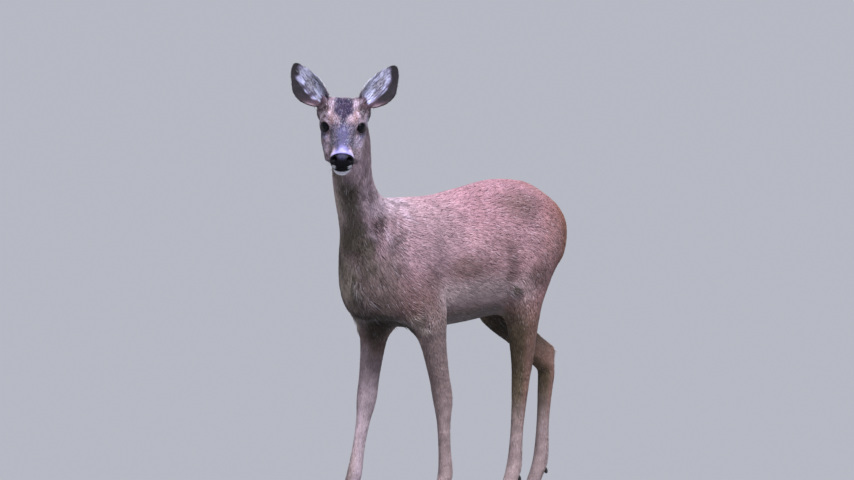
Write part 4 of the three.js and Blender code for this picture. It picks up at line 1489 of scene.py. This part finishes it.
LASHES, LASH_RADIUS = 26, 0.24
for side, at in EYES.items():
    gaze, _, above = eye_axes(side)
    turns = np.linspace(0.35, 2.75, LASHES)
    edge = round_eye(side, turns, 0.06)
    ways = (edge + 0.9 * gaze + 0.1 * above) @ HEAD_AXES.T
    lengths = (4.5 + 3.5 * np.sin(turns)) * wander(LASHES, 0.2) * MM
    upwards = (0.35 * above) @ HEAD_AXES.T
    roots = from_head(at + edge * (EYE_RADIUS + 0.4))
    bristles(f"lashes_{side}", roots, ways, upwards, lengths, LASH_RADIUS)

WHISKERS, WHISKER_LENGTH, WHISKER_RADIUS = 34, 15, 0.18
DROOP = (0.0, 0.05, -0.25)
hx, hy, hz = local.T
lips = (part_of(about, "head") > 0.8) & (np.abs(hx) > 9) & (hy < -88) & (hz < -4) & ~on_nose
chosen = RANDOM.choice(np.flatnonzero(lips), WHISKERS, replace=False)
ways = outward[chosen] + 0.8 * lie[chosen]
lengths = WHISKER_LENGTH * wander(WHISKERS, 0.35) * MM
bristles("whiskers", points[chosen], ways, DROOP, lengths, WHISKER_RADIUS)
bpy.data.meshes.remove(HAIR)

# %% [markdown]
# ## Nose pad and claws
#
# The nose pad is bare wet leather with a pebbled grain and a groove down its middle, and the claws are
# dull horn with a grain that runs down them. Both have facets as solids. A Bevel or Subdivision Surface
# modifier would keep traces of those, so each is drawn anew with voxels and smoothed. The groove is
# real shape. The pebbles are a cell pattern, which serves both as colour and as bump.


# %% Smooth pieces in place of solids
def smooth_piece(name, size, rounds, material, shape):
    """A smooth copy of a CAD node, drawn with voxels and given its last shape, in place of the node."""
    piece = new_object(f"{name}_smooth", mesh_from(merged_copy(name), f"{name}_smooth"))
    voxel_skin(piece, size)
    points = smoothed(coordinates(piece.data), edges_of(piece.data), rounds, 0.5)
    set_coordinates(piece.data, points)
    set_coordinates(piece.data, shape(points, normals(piece.data)))
    piece.data.materials.append(material)
    piece.data.shade_smooth()
    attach(piece, "root")
    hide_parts(name)
    return len(piece.data.polygons)


# %% Nose pad
GROOVE_WIDTH = 1.1
LEATHER = Paint("leather", Roughness=0.42, Specular_IOR_Level=0.1)
pebble = LEATHER.cells(620)
black = LEATHER.mix(pebble.ramp(0.1, 0.7), "050406", "0C0B11")
# The top of the nose pad is painted a bluish grey, as a painted highlight.
gloss_highlight = LEATHER.vector("DISTANCE", LEATHER.place, from_head((0, -119, 20)), "Value").ramp(0.0135, 0.0060)
LEATHER.feed(Base_Color=LEATHER.mix(gloss_highlight * 0.55, black, "33304E"))
LEATHER.bump(pebble + LEATHER.noise(900, 2) * 0.5, 0.6)


def groove(points, outward):
    """Sinks a groove a millimetre deep down the middle of the nose."""
    hx, hy, _ = to_head(points).T
    sunk = np.exp(-((hx / GROOVE_WIDTH) ** 2)) * smoothstep(-118, -124, hy)
    return points - outward * (sunk * MM)[:, None]


print("nose pad:", smooth_piece("nose", 0.8, 6, LEATHER.material, groove), "faces")

# %% Claws
HORN = Paint("horn", Roughness=0.42)
grain = HORN.noise(260, 4, (1, 1, 0.16))
HORN.feed(Base_Color=HORN.mix(grain.ramp(0.35, 0.7), "0F0D0C", "2E2826"))
HORN.bump(grain, 0.5)


def flat_sole(points, outward):
    """Keeps the claws on the floor."""
    points[:, 2] = np.maximum(points[:, 2], 0)
    return points


claws = [name for name in NODES if "claw" in name]
total = sum(smooth_piece(name, 1.2, 5, HORN.material, flat_sole) for name in claws)
print(len(claws), "claws and dewclaws,", total, "faces")

# %% [markdown]
# ## Camera, floor and light
#
# A deer is watched from far off, which makes her near and far legs almost the same size. So the camera
# stands thirty metres away with a long lens, rather than close with a wide one. The light is that of an
# overcast day: a very wide, soft sun from above and in front, and a weak, even sky that fills the
# shadows.

# %% Camera
AZIMUTH, ELEVATION = math.radians(42.0), math.radians(3.5)
DISTANCE, VIEW_WIDTH = 30.0, 1.873
AIM_ACROSS, AIM_UP = -0.0490, 0.6012
SENSOR = 36.0

forward = np.array(
    (
        -math.sin(AZIMUTH) * math.cos(ELEVATION),
        math.cos(AZIMUTH) * math.cos(ELEVATION),
        -math.sin(ELEVATION),
    )
)
right = np.array((math.cos(AZIMUTH), math.sin(AZIMUTH), 0.0))
up = np.cross(right, forward)
aim = TRUNK_AT + AIM_ACROSS * right + AIM_UP * up
camera_data = bpy.data.cameras.new("camera")
camera_data.sensor_width = SENSOR
camera_data.lens = SENSOR * DISTANCE / VIEW_WIDTH
camera_data.clip_end = 200.0
camera = bpy.data.objects.new("camera", camera_data)
camera.location = Vector(aim - DISTANCE * forward)
camera.rotation_euler = Vector(forward).to_track_quat("-Z", "Y").to_euler()
bpy.context.scene.collection.objects.link(camera)
bpy.context.scene.camera = camera
print("lens", round(camera_data.lens, 1), "mm, at", np.round(camera.location, 2))

# %% Floor and light
FLOOR_SIZE, FLOOR_GREY = 60.0, (0.21, 0.21, 0.215, 1)
SUN_FROM, SUN_STRENGTH, SUN_WIDTH = (0.44, -0.30, 0.85), 8.5, 30
SUN_TINT = (0.87, 0.89, 1.0)
SKY_TINT, SKY_STRENGTH = (0.92, 0.98, 0.96, 1), 0.2

bm = bmesh.new()
bmesh.ops.create_grid(bm, x_segments=1, y_segments=1, size=FLOOR_SIZE)
floor_paint = Paint("floor", Roughness=0.8, Base_Color=FLOOR_GREY)
floor = new_object("floor", mesh_from(bm, "floor"), floor_paint.material)
sun_data = bpy.data.lights.new("sky", "SUN")
sun_data.energy = SUN_STRENGTH
sun_data.angle = math.radians(SUN_WIDTH)
sun_data.color = SUN_TINT
sun = bpy.data.objects.new("sky", sun_data)
sun.rotation_euler = Vector(SUN_FROM).to_track_quat("Z", "Y").to_euler()
bpy.context.scene.collection.objects.link(sun)
world = bpy.data.worlds.new("world")
world.use_nodes = True
background = world.node_tree.nodes["Background"]
background.inputs["Color"].default_value = SKY_TINT
background.inputs["Strength"].default_value = SKY_STRENGTH
bpy.context.scene.world = world
bpy.context.scene.view_settings.view_transform = "Standard"
print("floor", 2 * FLOOR_SIZE, "m wide, sun", SUN_WIDTH, "degrees wide")
